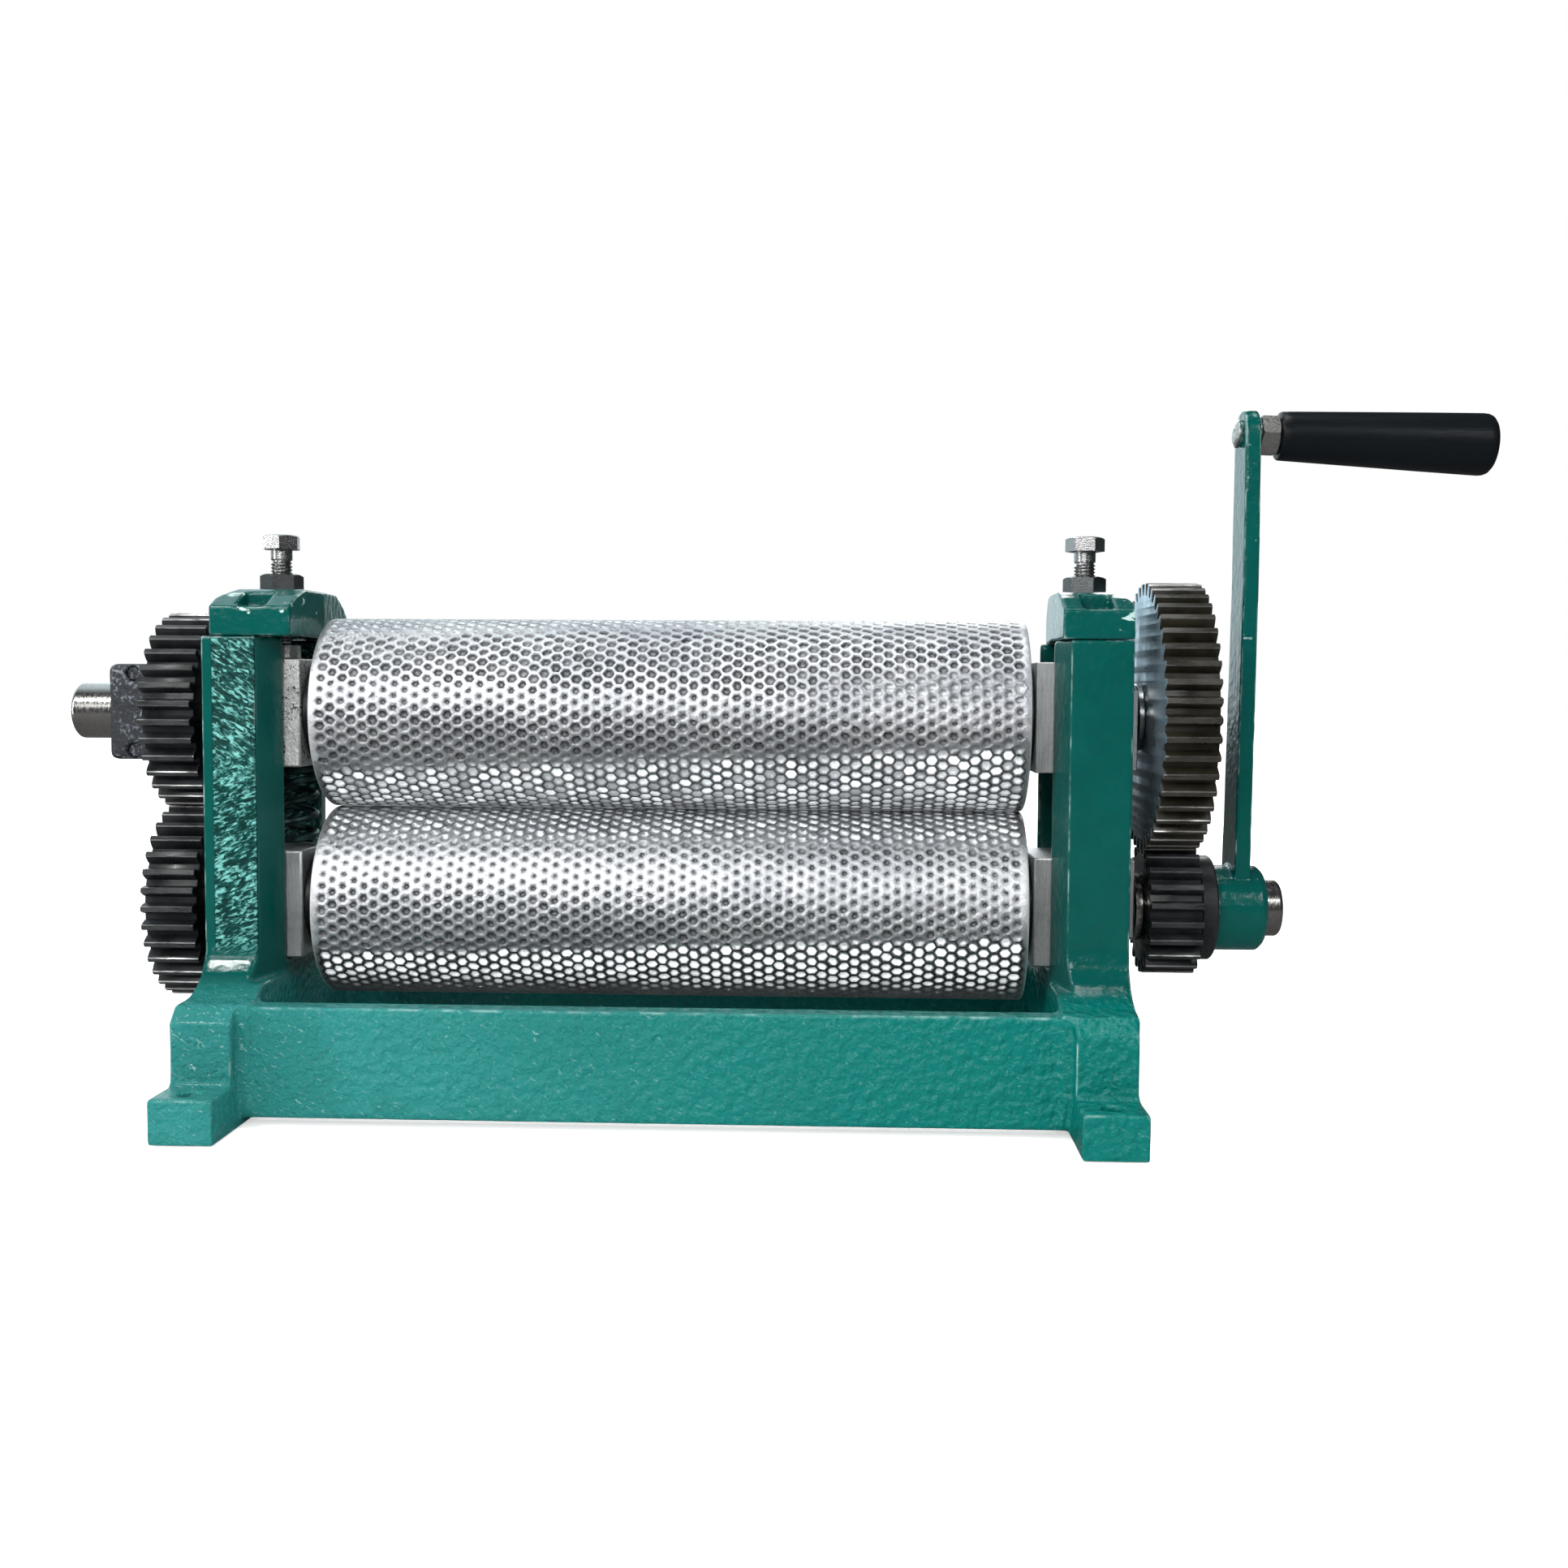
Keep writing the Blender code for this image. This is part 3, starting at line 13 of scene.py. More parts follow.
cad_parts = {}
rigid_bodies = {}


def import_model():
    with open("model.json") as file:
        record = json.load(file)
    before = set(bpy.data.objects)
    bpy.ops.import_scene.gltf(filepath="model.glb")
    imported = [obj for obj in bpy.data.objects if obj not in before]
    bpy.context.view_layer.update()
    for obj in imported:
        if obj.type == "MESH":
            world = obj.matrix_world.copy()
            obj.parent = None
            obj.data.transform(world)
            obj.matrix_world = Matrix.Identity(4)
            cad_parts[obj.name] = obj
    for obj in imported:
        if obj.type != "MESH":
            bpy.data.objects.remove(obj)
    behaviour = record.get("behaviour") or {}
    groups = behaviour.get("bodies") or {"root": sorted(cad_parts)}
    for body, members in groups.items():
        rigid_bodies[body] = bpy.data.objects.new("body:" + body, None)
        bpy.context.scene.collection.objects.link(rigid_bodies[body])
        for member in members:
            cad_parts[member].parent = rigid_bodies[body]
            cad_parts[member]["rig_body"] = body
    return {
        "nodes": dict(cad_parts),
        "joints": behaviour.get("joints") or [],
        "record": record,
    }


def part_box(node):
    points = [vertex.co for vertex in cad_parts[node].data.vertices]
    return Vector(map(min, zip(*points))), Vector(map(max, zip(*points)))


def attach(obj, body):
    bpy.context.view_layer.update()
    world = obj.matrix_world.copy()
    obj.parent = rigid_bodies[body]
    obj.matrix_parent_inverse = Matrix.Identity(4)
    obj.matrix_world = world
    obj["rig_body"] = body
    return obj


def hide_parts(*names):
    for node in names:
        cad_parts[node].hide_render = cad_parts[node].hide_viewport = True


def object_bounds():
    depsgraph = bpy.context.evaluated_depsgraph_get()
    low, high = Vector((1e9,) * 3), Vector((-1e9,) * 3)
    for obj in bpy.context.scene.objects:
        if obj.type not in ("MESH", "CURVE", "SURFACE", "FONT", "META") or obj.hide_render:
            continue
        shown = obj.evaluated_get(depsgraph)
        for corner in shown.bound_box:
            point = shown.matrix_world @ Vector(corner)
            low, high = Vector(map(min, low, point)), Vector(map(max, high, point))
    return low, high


# Enamel, from the shaded uprights to the well-lit rails
DEEP_GREEN = (0.0002, 0.048, 0.042)
MID_GREEN = (0.0004, 0.070, 0.060)
RAIL_GREEN = (0.0008, 0.136, 0.118)
PALE_RAIL_GREEN = (0.0180, 0.192, 0.180)
# Painted light on the enamel: pale mint glint streaks and white glints, and painted shade in the hollows
# of the ripples
GLINT_STREAK_MINT = (0.26, 0.74, 0.68)
GLINT = (0.66, 0.88, 0.85)
HOLLOW_SHADE_GREEN = (0.001, 0.026, 0.022)

# The rough panel on the left upright and the rough base, as pairs that each fade starts and
# ends at: X to the left of the rollers' middle, and Z
PANEL_RIGHT = (0.1745, 0.1735)
PANEL_LEFT = (0.1952, 0.1946)
PANEL_BOTTOM = (0.066, 0.078)
PANEL_TOP = (0.2035, 0.2045)
BASE_TOP = (0.050, 0.060)

# Gear steel, with a painted highlight colour for the tips of the teeth and a painted blue-white
# reflection for the drive wheel's face
BLACK = (0.006, 0.007, 0.008)
BROWN = (0.009, 0.008, 0.005)
TIP_HIGHLIGHT_GREY = (0.50, 0.50, 0.49)
FACE_REFLECTION_BLUE = (0.50, 0.66, 0.78)
BLACK_FACE = (0.012, 0.013, 0.015)

# Roller aluminium, with painted light: white lit cells, and painted shade in the pits
LAND = (0.56, 0.575, 0.59)
DULL_LAND = (0.42, 0.435, 0.46)
DARK_GRAIN = (0.12, 0.13, 0.15)
LIT_CELL_WHITE = (0.92, 0.95, 0.96)
GRAINY_LIT_CELL_GREY = (0.34, 0.36, 0.38)
PIT_SHADE_BLACK = (0.014, 0.017, 0.020)

# Engraving
CELLS_ROUND = 50
PIT_RADIUS = 0.490
PIT_FLOOR_RADIUS = 0.40
PIT_HEXAGON = 0.05
PIT_WIDENING = 0.06
NIP_CLOSING = 0.00017
PIT_LEAN = math.radians(62)
PIT_DEPTH = 0.0012
PIT_STEPS = 12
ROLLER_RIM = 0.0004

# Gears
MODULE = 0.0025
TIMING_TEETH = 34
WHEEL_TEETH = 46
PINION_TEETH = 22
PRESSURE_ANGLE = math.radians(20)
ADDENDUM = 0.85
DEDENDUM = 1.2
BACKLASH = 0.00026
TOOTH_EDGE = 0.0005
FLANK_POINTS = 6
GEAR_BORE_RADIUS = 0.0128
FLANGE_RADIUS = 0.0233
FLANGE_EDGE = 0.0008
TIMING_TIP = MODULE * (TIMING_TEETH / 2 + ADDENDUM)
WHEEL_TIP = MODULE * (WHEEL_TEETH / 2 + ADDENDUM)
PINION_TIP = MODULE * (PINION_TEETH / 2 + ADDENDUM)

# Fastenings
ADJUSTER_THREAD_PITCH = 0.0015
ADJUSTER_HEAD_HEIGHT = 0.0062
ADJUSTER_RADIUS = 0.00475
ADJUSTER_PLAIN_LENGTH = 0.005
ADJUSTER_HEAD_TURN = {"left": 12, "right": 22}
LOCK_NUT_TURN = {"left": -8, "right": 16}
THREAD_DEPTH = 0.0008
GRIP_END_GAP = 0.0003
GRIP_NEAR_RADIUS = 0.0106
GRIP_FAR_RADIUS = 0.0135
GRIP_BORE_RADIUS = 0.0053
# The grip's far end, as distances in from it and radii
GRIP_END_ROUND = (
    (0, 0), (0, 0.004), (0.0001, 0.0088), (0.0006, 0.0115), (0.0016, 0.0127), (0.0030, 0.0133),
    (0.0050, GRIP_FAR_RADIUS),
)
GRIP_COLLAR_ACROSS = 0.016
GRIP_COLLAR_LENGTH = 0.0082
RIVET_BLOB_THICKNESS = 0.0030
RIVET_BLOB_RADIUS = 0.0066
RIVET_BLOB_LUMPS = 14

# Castings
FRAME_VOXEL = 0.0010
SMALL_VOXEL = 0.0006
CAST_ROUNDING = 8
HUB_ROUNDING = 10

# Points nearer than this are one point, in the made meshes and in a CAD node's
MERGE_DISTANCE = 0.000002
CAD_MERGE_DISTANCE = 0.000005

# Camera, measured from the middle of the rollers on the bench
CAMERA_OFFSET = Vector((0.0761, -0.7247, 0.1852))
CAMERA_YAW = 0.038
CAMERA_PITCH = 0.061
CAMERA_ROLL = 0.006
CAMERA_LENS = 36.90
SENSOR_WIDTH = 36.0

# Studio
ROOM_IN_FRONT = (0.05, 0.055, 0.06)
WALL_BEHIND = (1.05, 1.25, 1.32)
FILL_LIGHT = (0.55, 0.55, 0.55)
FLOOR_GREY = (0.90, 0.90, 0.90)
MIRRORED_FLOOR_GREY = (0.12, 0.12, 0.12)
FLOOR_SIZE = 12
FLOOR_DROP = 0.0005
LIGHT_TARGET_Z = 0.13
# Name, place, size and power
LIGHTS = (
    ("key", (-0.35, -1.45, 0.72), (1.1, 0.28), 12),
    ("glint", (-0.70, -0.80, 1.00), (0.14, 0.14), 7),
    ("fill", (0.90, -1.20, 1.00), (0.5, 0.5), 6),
    ("top", (0.05, -0.10, 1.40), (0.7, 0.4), 8),
    ("back", (0.30, 1.50, 0.90), (0.6, 0.6), 5),
    ("left", (-1.30, -0.55, 0.30), (0.16, 0.9), 6),
)

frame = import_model()
cad_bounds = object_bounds()


def middle(node):
    low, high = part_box(node)
    return (low + high) / 2


def side_lengths(node):
    low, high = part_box(node)
    return high - low


ROLLER_MIDDLE_X = middle("upper_roller").x
UPPER_AXIS_Z = middle("upper_roller").z
LOWER_AXIS_Z = middle("lower_roller").z


# Materials


class Look:
    """A Principled material with short ways to add and join its nodes."""

    def __init__(self, name, colour, roughness, metallic=0.0):
        self.material = bpy.data.materials.new(name)
        self.material.use_nodes = True
        self.tree = self.material.node_tree
        self.shader = self.tree.nodes["Principled BSDF"]
        self.set("Base Color", (*colour, 1))
        self.set("Roughness", roughness)
        self.set("Metallic", metallic)
        self.place = self.add("ShaderNodeTexCoord").outputs["Object"]

    def set(self, socket, value):
        if isinstance(value, bpy.types.NodeSocket):
            self.tree.links.new(value, self.shader.inputs[socket])
        else:
            self.shader.inputs[socket].default_value = value

    def add(self, kind, settings=None, **inputs):
        node = self.tree.nodes.new(kind)
        for key, value in (settings or {}).items():
            setattr(node, key, value)
        for key, value in inputs.items():
            self.feed(node.inputs[key.replace("_", " ")], value)
        return node

    def feed(self, socket, value):
        if isinstance(value, bpy.types.NodeSocket):
            self.tree.links.new(value, socket)
        else:
            socket.default_value = value

    def noise(self, size, detail=3.0, roughness=0.55, stretch=(1, 1, 1), distortion=0.0):
        """Noise whose blotches are about size metres across, as a value from 0 to 1."""
        mapping = self.add("ShaderNodeMapping", Vector=self.place, Scale=stretch)
        node = self.add(
            "ShaderNodeTexNoise",
            Vector=mapping.outputs["Vector"],
            Scale=1 / size,
            Detail=detail,
            Roughness=roughness,
            Distortion=distortion,
        )
        return node.outputs["Fac"]

    def wrinkles(self, size, turn, length):
        """Noise drawn out into ridges: turned about Y by turn, and length times as long."""
        mapping = self.add(
            "ShaderNodeMapping",
            {"vector_type": "TEXTURE"},
            Vector=self.place,
            Rotation=(0, turn, 0),
            Scale=(length, 1, 1),
        )
        node = self.add(
            "ShaderNodeTexNoise",
            Vector=mapping.outputs["Vector"],
            Scale=1 / size,
            Detail=5.0,
            Roughness=0.6,
            Distortion=0.6,
        )
        return node.outputs["Fac"]

    def ramp(self, value, low, high, low_value=0.0, high_value=1.0):
        """Maps a value from low..high to low_value..high_value, held at both ends."""
        node = self.add("ShaderNodeMapRange", {"interpolation_type": "SMOOTHSTEP"})
        for key, number in (
            ("Value", value),
            ("From Min", low),
            ("From Max", high),
            ("To Min", low_value),
            ("To Max", high_value),
        ):
            self.feed(node.inputs[key], number)
        return node.outputs["Result"]

    def math(self, operation, first, second=0.0):
        node = self.add("ShaderNodeMath", {"operation": operation})
        self.feed(node.inputs[0], first)
        self.feed(node.inputs[1], second)
        return node.outputs["Value"]

    def mix(self, factor, first, second):
        """Mixes two colours, each a triple or a socket."""
        node = self.add("ShaderNodeMix", {"data_type": "RGBA"})
        self.feed(node.inputs["Factor"], factor)
        for socket, colour in ((node.inputs[6], first), (node.inputs[7], second)):
            self.feed(socket, colour if isinstance(colour, bpy.types.NodeSocket) else (*colour, 1))
        return node.outputs[2]

    def bump(self, height, depth, before=None):
        """Adds relief depth metres deep to the shader's normal."""
        node = self.add("ShaderNodeBump", Strength=1.0, Distance=depth, Height=height)
        if before:
            self.feed(node.inputs["Normal"], before)
        self.set("Normal", node.outputs["Normal"])
        return node.outputs["Normal"]

    def crest(self):
        """How far a point of the surface stands out from the points round it."""
        return self.add("ShaderNodeNewGeometry").outputs["Pointiness"]

    def axis(self, name):
        node = self.add("ShaderNodeSeparateXYZ", Vector=self.place)
        return node.outputs[name]

    def facing(self, name):
        """How far the surface faces along one axis, from -1 to 1."""
        geometry = self.add("ShaderNodeTexCoord").outputs["Normal"]
        return self.add("ShaderNodeSeparateXYZ", Vector=geometry).outputs[name]

    def radius(self, axis_z):
        """Distance from a line along X at that height."""
        height = self.math("SUBTRACT", self.axis("Z"), axis_z)
        across = self.math("MULTIPLY", self.axis("Y"), self.axis("Y"))
        up = self.math("MULTIPLY", height, height)
        return self.math("SQRT", self.math("ADD", across, up))


def paint_look(name):
    """Gloss green enamel over a sand casting, rough on the front of the left upright and of
    the base. Painted light, as colour that stays the same in any light: highlights along its
    raised edges, white reflections on the caps, glint flecks on the rough base, pale glint
    streaks and painted shade in the ripples of the left panel, and a base lighter than the uprights."""
    look = Look(name, DEEP_GREEN, 0.3)
    coarse = look.noise(0.0015, detail=4, roughness=0.62)
    peel = look.noise(0.0042, detail=2, roughness=0.4)
    falling = look.wrinkles(0.0013, math.radians(30), 2.8)
    rising = look.wrinkles(0.0013, math.radians(-24), 2.8)
    patches = look.noise(0.050, detail=2)
    blotches = look.noise(0.018, detail=3)
    front = look.ramp(look.facing("Y"), -0.85, -0.6, 1.0, 0.0)
    right_fade = [ROLLER_MIDDLE_X - distance for distance in PANEL_RIGHT]
    left_fade = [ROLLER_MIDDLE_X - distance for distance in PANEL_LEFT]
    left = look.ramp(look.axis("X"), *right_fade, 1.0, 0.0)
    edge = look.ramp(look.axis("X"), *left_fade)
    above = look.ramp(look.axis("Z"), *PANEL_BOTTOM)
    below = look.ramp(look.axis("Z"), *PANEL_TOP, 1.0, 0.0)
    panel = look.math("MULTIPLY", look.math("MULTIPLY", front, left), edge)
    panel = look.math("MULTIPLY", panel, look.math("MULTIPLY", above, below))
    ripples = look.mix(look.ramp(look.axis("Z"), 0.135, 0.165), rising, falling)
    base = look.ramp(look.axis("Z"), *BASE_TOP, 1.0, 0.0)
    leftward = look.ramp(look.axis("X"), -0.24, 0.10, 1.0, 0.0)
    pitted = look.math("MULTIPLY", base, look.math("ADD", look.math("MULTIPLY", leftward, 0.8), 0.2))
    rough = look.math("MULTIPLY", look.ramp(patches, 0.3, 0.65, 0.35, 1.0), pitted)
    shaded = look.mix(blotches, DEEP_GREEN, MID_GREEN)
    # Painted light: the base lighter than the uprights, and paler towards the left
    shaded = look.mix(base, shaded, look.mix(leftward, RAIL_GREEN, PALE_RAIL_GREEN))
    # Painted shade: the hollows of the panel's ripples darkened in colour
    painted_hollow_shade = look.math("MULTIPLY", look.ramp(ripples, 0.38, 0.49, 0.85, 0.0), panel)
    shaded = look.mix(painted_hollow_shade, shaded, HOLLOW_SHADE_GREEN)
    # Painted highlights: pale glint flecks on the rough base
    painted_glint_flecks = look.math("MULTIPLY", look.ramp(falling, 0.60, 0.70), look.math("MULTIPLY", rough, 0.34))
    # Painted highlights: pale mint glint streaks along the panel's ripples
    painted_glint_streaks = look.math("MULTIPLY", look.ramp(ripples, 0.48, 0.64), panel)
    broken = look.ramp(look.noise(0.012, detail=4), 0.47, 0.66)
    broken = look.math("MULTIPLY", broken, look.ramp(look.axis("Z"), 0.008, 0.022))
    # Painted highlights along the raised edges, found by pointiness
    painted_edge_highlights = look.math("MULTIPLY", look.ramp(look.crest(), 0.520, 0.560, 0.0, 0.50), broken)
    # Painted reflections: white spots on the front of the caps
    painted_cap_reflections = look.ramp(look.noise(0.008, detail=4, stretch=(0.7, 1, 1.3), distortion=0.3), 0.640, 0.680)
    painted_cap_reflections = look.math("MULTIPLY", painted_cap_reflections, look.ramp(look.axis("Z"), 0.2055, 0.2065, 0.0, 0.55))
    painted_cap_reflections = look.math("MULTIPLY", painted_cap_reflections, look.ramp(look.axis("Y"), -0.02, 0.0, 1.0, 0.0))
    shaded = look.mix(look.math("MULTIPLY", painted_glint_streaks, 0.85), shaded, GLINT_STREAK_MINT)
    # All the painted highlights and reflections, mixed towards a pale glint colour
    painted_glints = look.math("MAXIMUM", painted_glint_flecks, look.math("MAXIMUM", painted_edge_highlights, painted_cap_reflections))
    look.set("Base Color", look.mix(painted_glints, shaded, GLINT))
    look.set("Specular IOR Level", 0.22)
    look.set("Roughness", look.ramp(coarse, 0.3, 0.7, 0.12, 0.22))
    look.set("Coat Weight", 0.14)
    look.set("Coat Roughness", 0.05)
    height = look.math("MULTIPLY", coarse, look.math("ADD", rough, 0.05))
    height = look.math("ADD", height, look.math("MULTIPLY", peel, look.math("ADD", base, 0.15)))
    height = look.math("ADD", height, look.math("MULTIPLY", ripples, look.math("MULTIPLY", panel, 2.0)))
    look.bump(height, 0.0022)
    return look.material


def roller_look(name):
    """Engraved aluminium: bright lands, pits in painted shade, and white cells of painted light
    where the painted light and shade held in the mesh falls below nought. The white cells give
    off a little light, a painted glow."""
    look = Look(name, (0.72, 0.74, 0.76), 0.35, 1.0)
    painted_light_shade = look.add("ShaderNodeAttribute", {"attribute_name": "painted_light_shade"}).outputs["Fac"]
    grain = look.noise(0.0010, detail=5, roughness=0.65)
    smears = look.noise(0.022, detail=3, stretch=(0.5, 1, 1))
    # Painted shade: darker pits, and a dark net where the painted light swaps, varied by grain
    darkness = look.math("MULTIPLY", look.ramp(painted_light_shade, 0.1, 1.0), look.ramp(grain, 0.25, 0.6, 0.72, 1.15))
    painted_lit_cells = look.ramp(painted_light_shade, -0.35, 0.12, 1.0, 0.0)
    land = look.mix(look.ramp(smears, 0.35, 0.68), LAND, DULL_LAND)
    land = look.mix(look.ramp(grain, 0.58, 0.70, 0.0, 0.65), land, DARK_GRAIN)
    white = look.mix(look.ramp(grain, 0.52, 0.70, 0.0, 0.7), LIT_CELL_WHITE, GRAINY_LIT_CELL_GREY)
    land = look.mix(painted_lit_cells, land, white)
    # Painted glow on the lit cells, though they are no lamp
    look.set("Emission Color", (0.90, 0.95, 0.97, 1))
    glow = look.ramp(darkness, 0.0, 0.5, 0.30, 0.0)
    look.set("Emission Strength", look.math("MULTIPLY", painted_lit_cells, glow))
    look.set("Base Color", look.mix(darkness, land, PIT_SHADE_BLACK))
    look.set("Roughness", look.ramp(painted_light_shade, 0.0, 1.0, 0.34, 0.60))
    look.set("Metallic", look.math("SUBTRACT", look.ramp(painted_light_shade, 0.0, 1.0, 0.90, 0.75), painted_lit_cells))
    look.set("Specular IOR Level", 0.3)
    look.bump(grain, 0.0003)
    return look.material


def gear_look(name, axis_z, tip_radius, colour, wear_and_sheen, face):
    """Oxide-black gear steel with painted highlights along the edges of its teeth, and turned
    faces that are darker low down as painted shade. The face colour can be a painted reflection."""
    look = Look(name, colour, 0.35, 0.1)
    oil = look.noise(0.012, detail=4)
    grain = look.noise(0.0016, detail=4, stretch=(0.25, 1, 1))
    distance = look.radius(axis_z)
    offset = look.add("ShaderNodeVectorMath", {"operation": "SUBTRACT"})
    look.feed(offset.inputs[0], look.place)
    look.feed(offset.inputs[1], (0, 0, axis_z))
    outward = look.add("ShaderNodeVectorMath", {"operation": "MULTIPLY"})
    look.feed(outward.inputs[0], offset.outputs["Vector"])
    look.feed(outward.inputs[1], (0, 1, 1))
    unit = look.add("ShaderNodeVectorMath", {"operation": "NORMALIZE"})
    look.feed(unit.inputs[0], outward.outputs["Vector"])
    radial = look.add("ShaderNodeVectorMath", {"operation": "DOT_PRODUCT"})
    look.feed(radial.inputs[0], unit.outputs["Vector"])
    look.feed(radial.inputs[1], look.add("ShaderNodeTexCoord").outputs["Normal"])
    flank = look.ramp(radial.outputs["Value"], 0.45, 0.85, 1.0, 0.05)
    # Painted highlight: the outward faces near the tips of the teeth, made pale and metallic
    edges = look.math("MULTIPLY", look.ramp(distance, tip_radius - 0.0007, tip_radius - 0.0003), flank)
    edges = look.math("MULTIPLY", edges, look.ramp(grain, 0.30, 0.55, 0.25, 1.0))
    sides = look.ramp(look.math("ABSOLUTE", look.facing("X")), 0.9, 0.99)
    rings = look.add(
        "ShaderNodeTexWave",
        {"wave_type": "RINGS", "rings_direction": "X"},
        Vector=offset.outputs["Vector"],
        Scale=420.0,
        Distortion=0.6,
    )
    shaded = look.mix(look.ramp(oil, 0.35, 0.7), colour, tuple(c * 2.2 for c in colour))
    shaded = look.mix(look.math("MULTIPLY", edges, wear_and_sheen), shaded, TIP_HIGHLIGHT_GREY)
    look.set("Specular IOR Level", 0.25)
    face_colour = look.mix(rings.outputs["Fac"], face, tuple(c * 1.3 for c in face))
    # Painted shade: the face darker towards the bottom
    lower = look.ramp(look.axis("Z"), axis_z - tip_radius, axis_z + 0.6 * tip_radius, 0.8, 0.0)
    face_colour = look.mix(lower, face_colour, tuple(c * 0.18 for c in face))
    look.set("Base Color", look.mix(look.math("MULTIPLY", sides, 0.8), shaded, face_colour))
    look.set("Roughness", look.ramp(oil, 0.3, 0.7, 0.26, 0.46))
    look.set("Metallic", look.math("MAXIMUM", look.math("MULTIPLY", sides, 0.9), edges))
    look.bump(grain, 0.00010)
    return look.material


def steel_look(name, colour, roughness, brush=(1, 1, 1), stain=0.25, speckle=0.0, relief=0.0004):
    """Bare steel with brushed lines, stains and, on cast faces, dark speckles."""
    look = Look(name, colour, roughness, 1.0)
    lines = look.noise(0.0009, detail=3, stretch=brush)
    stains = look.noise(0.010, detail=4)
    dots = look.noise(0.0014, detail=5, roughness=0.7)
    patch = look.ramp(look.noise(0.014, detail=2), 0.45, 0.52)
    dark = tuple(c * 0.35 for c in colour)
    shaded = look.mix(look.ramp(stains, 0.45, 0.75, 0.0, stain), colour, dark)
    shaded = look.mix(look.ramp(lines, 0.4, 0.7, 0.0, 0.25), shaded, dark)
    spots = look.math("MULTIPLY", look.ramp(dots, 0.52, 0.62, 0.0, speckle), patch)
    look.set("Base Color", look.mix(spots, shaded, (0.02, 0.02, 0.02)))
    look.set("Roughness", look.ramp(lines, 0.3, 0.7, roughness - 0.06, roughness + 0.10))
    height = look.math("ADD", look.math("MULTIPLY", lines, 0.25), look.math("MULTIPLY", dots, speckle))
    look.bump(height, relief)
    return look.material


def black_casting_look(name):
    look = Look(name, (0.05, 0.055, 0.065), 0.42, 0.6)
    grit = look.noise(0.0016, detail=5, roughness=0.68)
    wear_and_sheen = look.ramp(look.noise(0.008, detail=3), 0.42, 0.6)
    spots = look.math("MULTIPLY", look.ramp(grit, 0.5, 0.62), wear_and_sheen)
    look.set("Base Color", look.mix(spots, (0.030, 0.033, 0.038), (0.22, 0.24, 0.28)))
    look.set("Roughness", look.ramp(grit, 0.3, 0.7, 0.32, 0.55))
    look.bump(grit, 0.0008)
    return look.material


def plastic_look(name):
    look = Look(name, (0.004, 0.006, 0.008), 0.34)
    haze = look.noise(0.03, detail=3, stretch=(0.3, 1, 1))
    scratches = look.noise(0.0007, detail=2, stretch=(0.05, 1, 1))
    look.set("Base Color", look.mix(haze, (0.002, 0.003, 0.004), (0.005, 0.007, 0.009)))
    look.set("Roughness", look.ramp(scratches, 0.3, 0.7, 0.30, 0.42))
    look.set("Specular IOR Level", 0.1)
    look.bump(scratches, 0.00005)
    return look.material


def bronze_look(name):
    look = Look(name, (0.50, 0.31, 0.13), 0.35, 1.0)
    stains = look.noise(0.008, detail=4)
    look.set("Base Color", look.mix(stains, (0.58, 0.37, 0.16), (0.28, 0.16, 0.07)))
    look.set("Roughness", look.ramp(stains, 0.3, 0.7, 0.28, 0.5))
    return look.material


# Shapes


def add_piece(name, mesh, body, material, nodes=()):
    """Shows a mesh, whose points are in the row frame, as a piece that rides on a body."""
    obj = bpy.data.objects.new(name, mesh)
    bpy.context.scene.collection.objects.link(obj)
    mesh.materials.clear()
    mesh.materials.append(material)
    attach(obj, body)
    if nodes:
        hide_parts(*nodes)
    return obj


def body_of(node):
    return frame["nodes"][node]["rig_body"]


def slot_of(node):
    for part in frame["record"]["subparts"]:
        if part["node"] == node:
            return part["material_slot"]
    return None


def clean_mesh(node, name):
    """A copy of a CAD node's mesh with its split points merged and its flat faces whole."""
    mesh = frame["nodes"][node].data.copy()
    mesh.name = name
    bm = bmesh.new()
    bm.from_mesh(mesh)
    bmesh.ops.remove_doubles(bm, verts=bm.verts, dist=CAD_MERGE_DISTANCE)
    bmesh.ops.dissolve_limit(bm, angle_limit=math.radians(0.5), verts=bm.verts, edges=bm.edges)
    bm.to_mesh(mesh)
    bm.free()
    if "custom_normal" in mesh.attributes:
        mesh.attributes.remove(mesh.attributes["custom_normal"])
    return mesh


def shade_round(mesh, angle=math.radians(35)):
    mesh.shade_smooth()
    mesh.set_sharp_from_angle(angle=angle)


def round_edges(obj, width):
    modifier = obj.modifiers.new("edges", "BEVEL")
    modifier.width = width
    modifier.segments = 2
    modifier.limit_method = "ANGLE"
    modifier.angle_limit = math.radians(40)


def refined(node, material, edge):
    """Shows a CAD node with eased edges and round faces shaded round."""
    mesh = clean_mesh(node, node + "_look")
    shade_round(mesh)
    obj = add_piece(node + "_look", mesh, body_of(node), material, [node])
    if edge:
        round_edges(obj, edge)


def cast(node, material, voxel, rounding=CAST_ROUNDING):
    """Shows a CAD node as a casting: every edge and corner rounded, every face a little wavy."""
    mesh = clean_mesh(node, node + "_look")
    obj = add_piece(node + "_look", mesh, body_of(node), material, [node])
    remesh = obj.modifiers.new("skin", "REMESH")
    remesh.mode = "VOXEL"
    remesh.voxel_size = voxel
    remesh.use_smooth_shade = True
    smooth = obj.modifiers.new("rounding", "SMOOTH")
    smooth.factor = 0.5
    smooth.iterations = rounding
    texture = bpy.data.textures.new(node + "_wave", "CLOUDS")
    texture.noise_scale = 0.012
    displace = obj.modifiers.new("wave", "DISPLACE")
    displace.texture = texture
    displace.texture_coords = "GLOBAL"
    displace.strength = 0.00015


def mesh_from(bm, name, smooth=True):
    mesh = bpy.data.meshes.new(name)
    bm.to_mesh(mesh)
    bm.free()
    if smooth:
        shade_round(mesh)
    return mesh


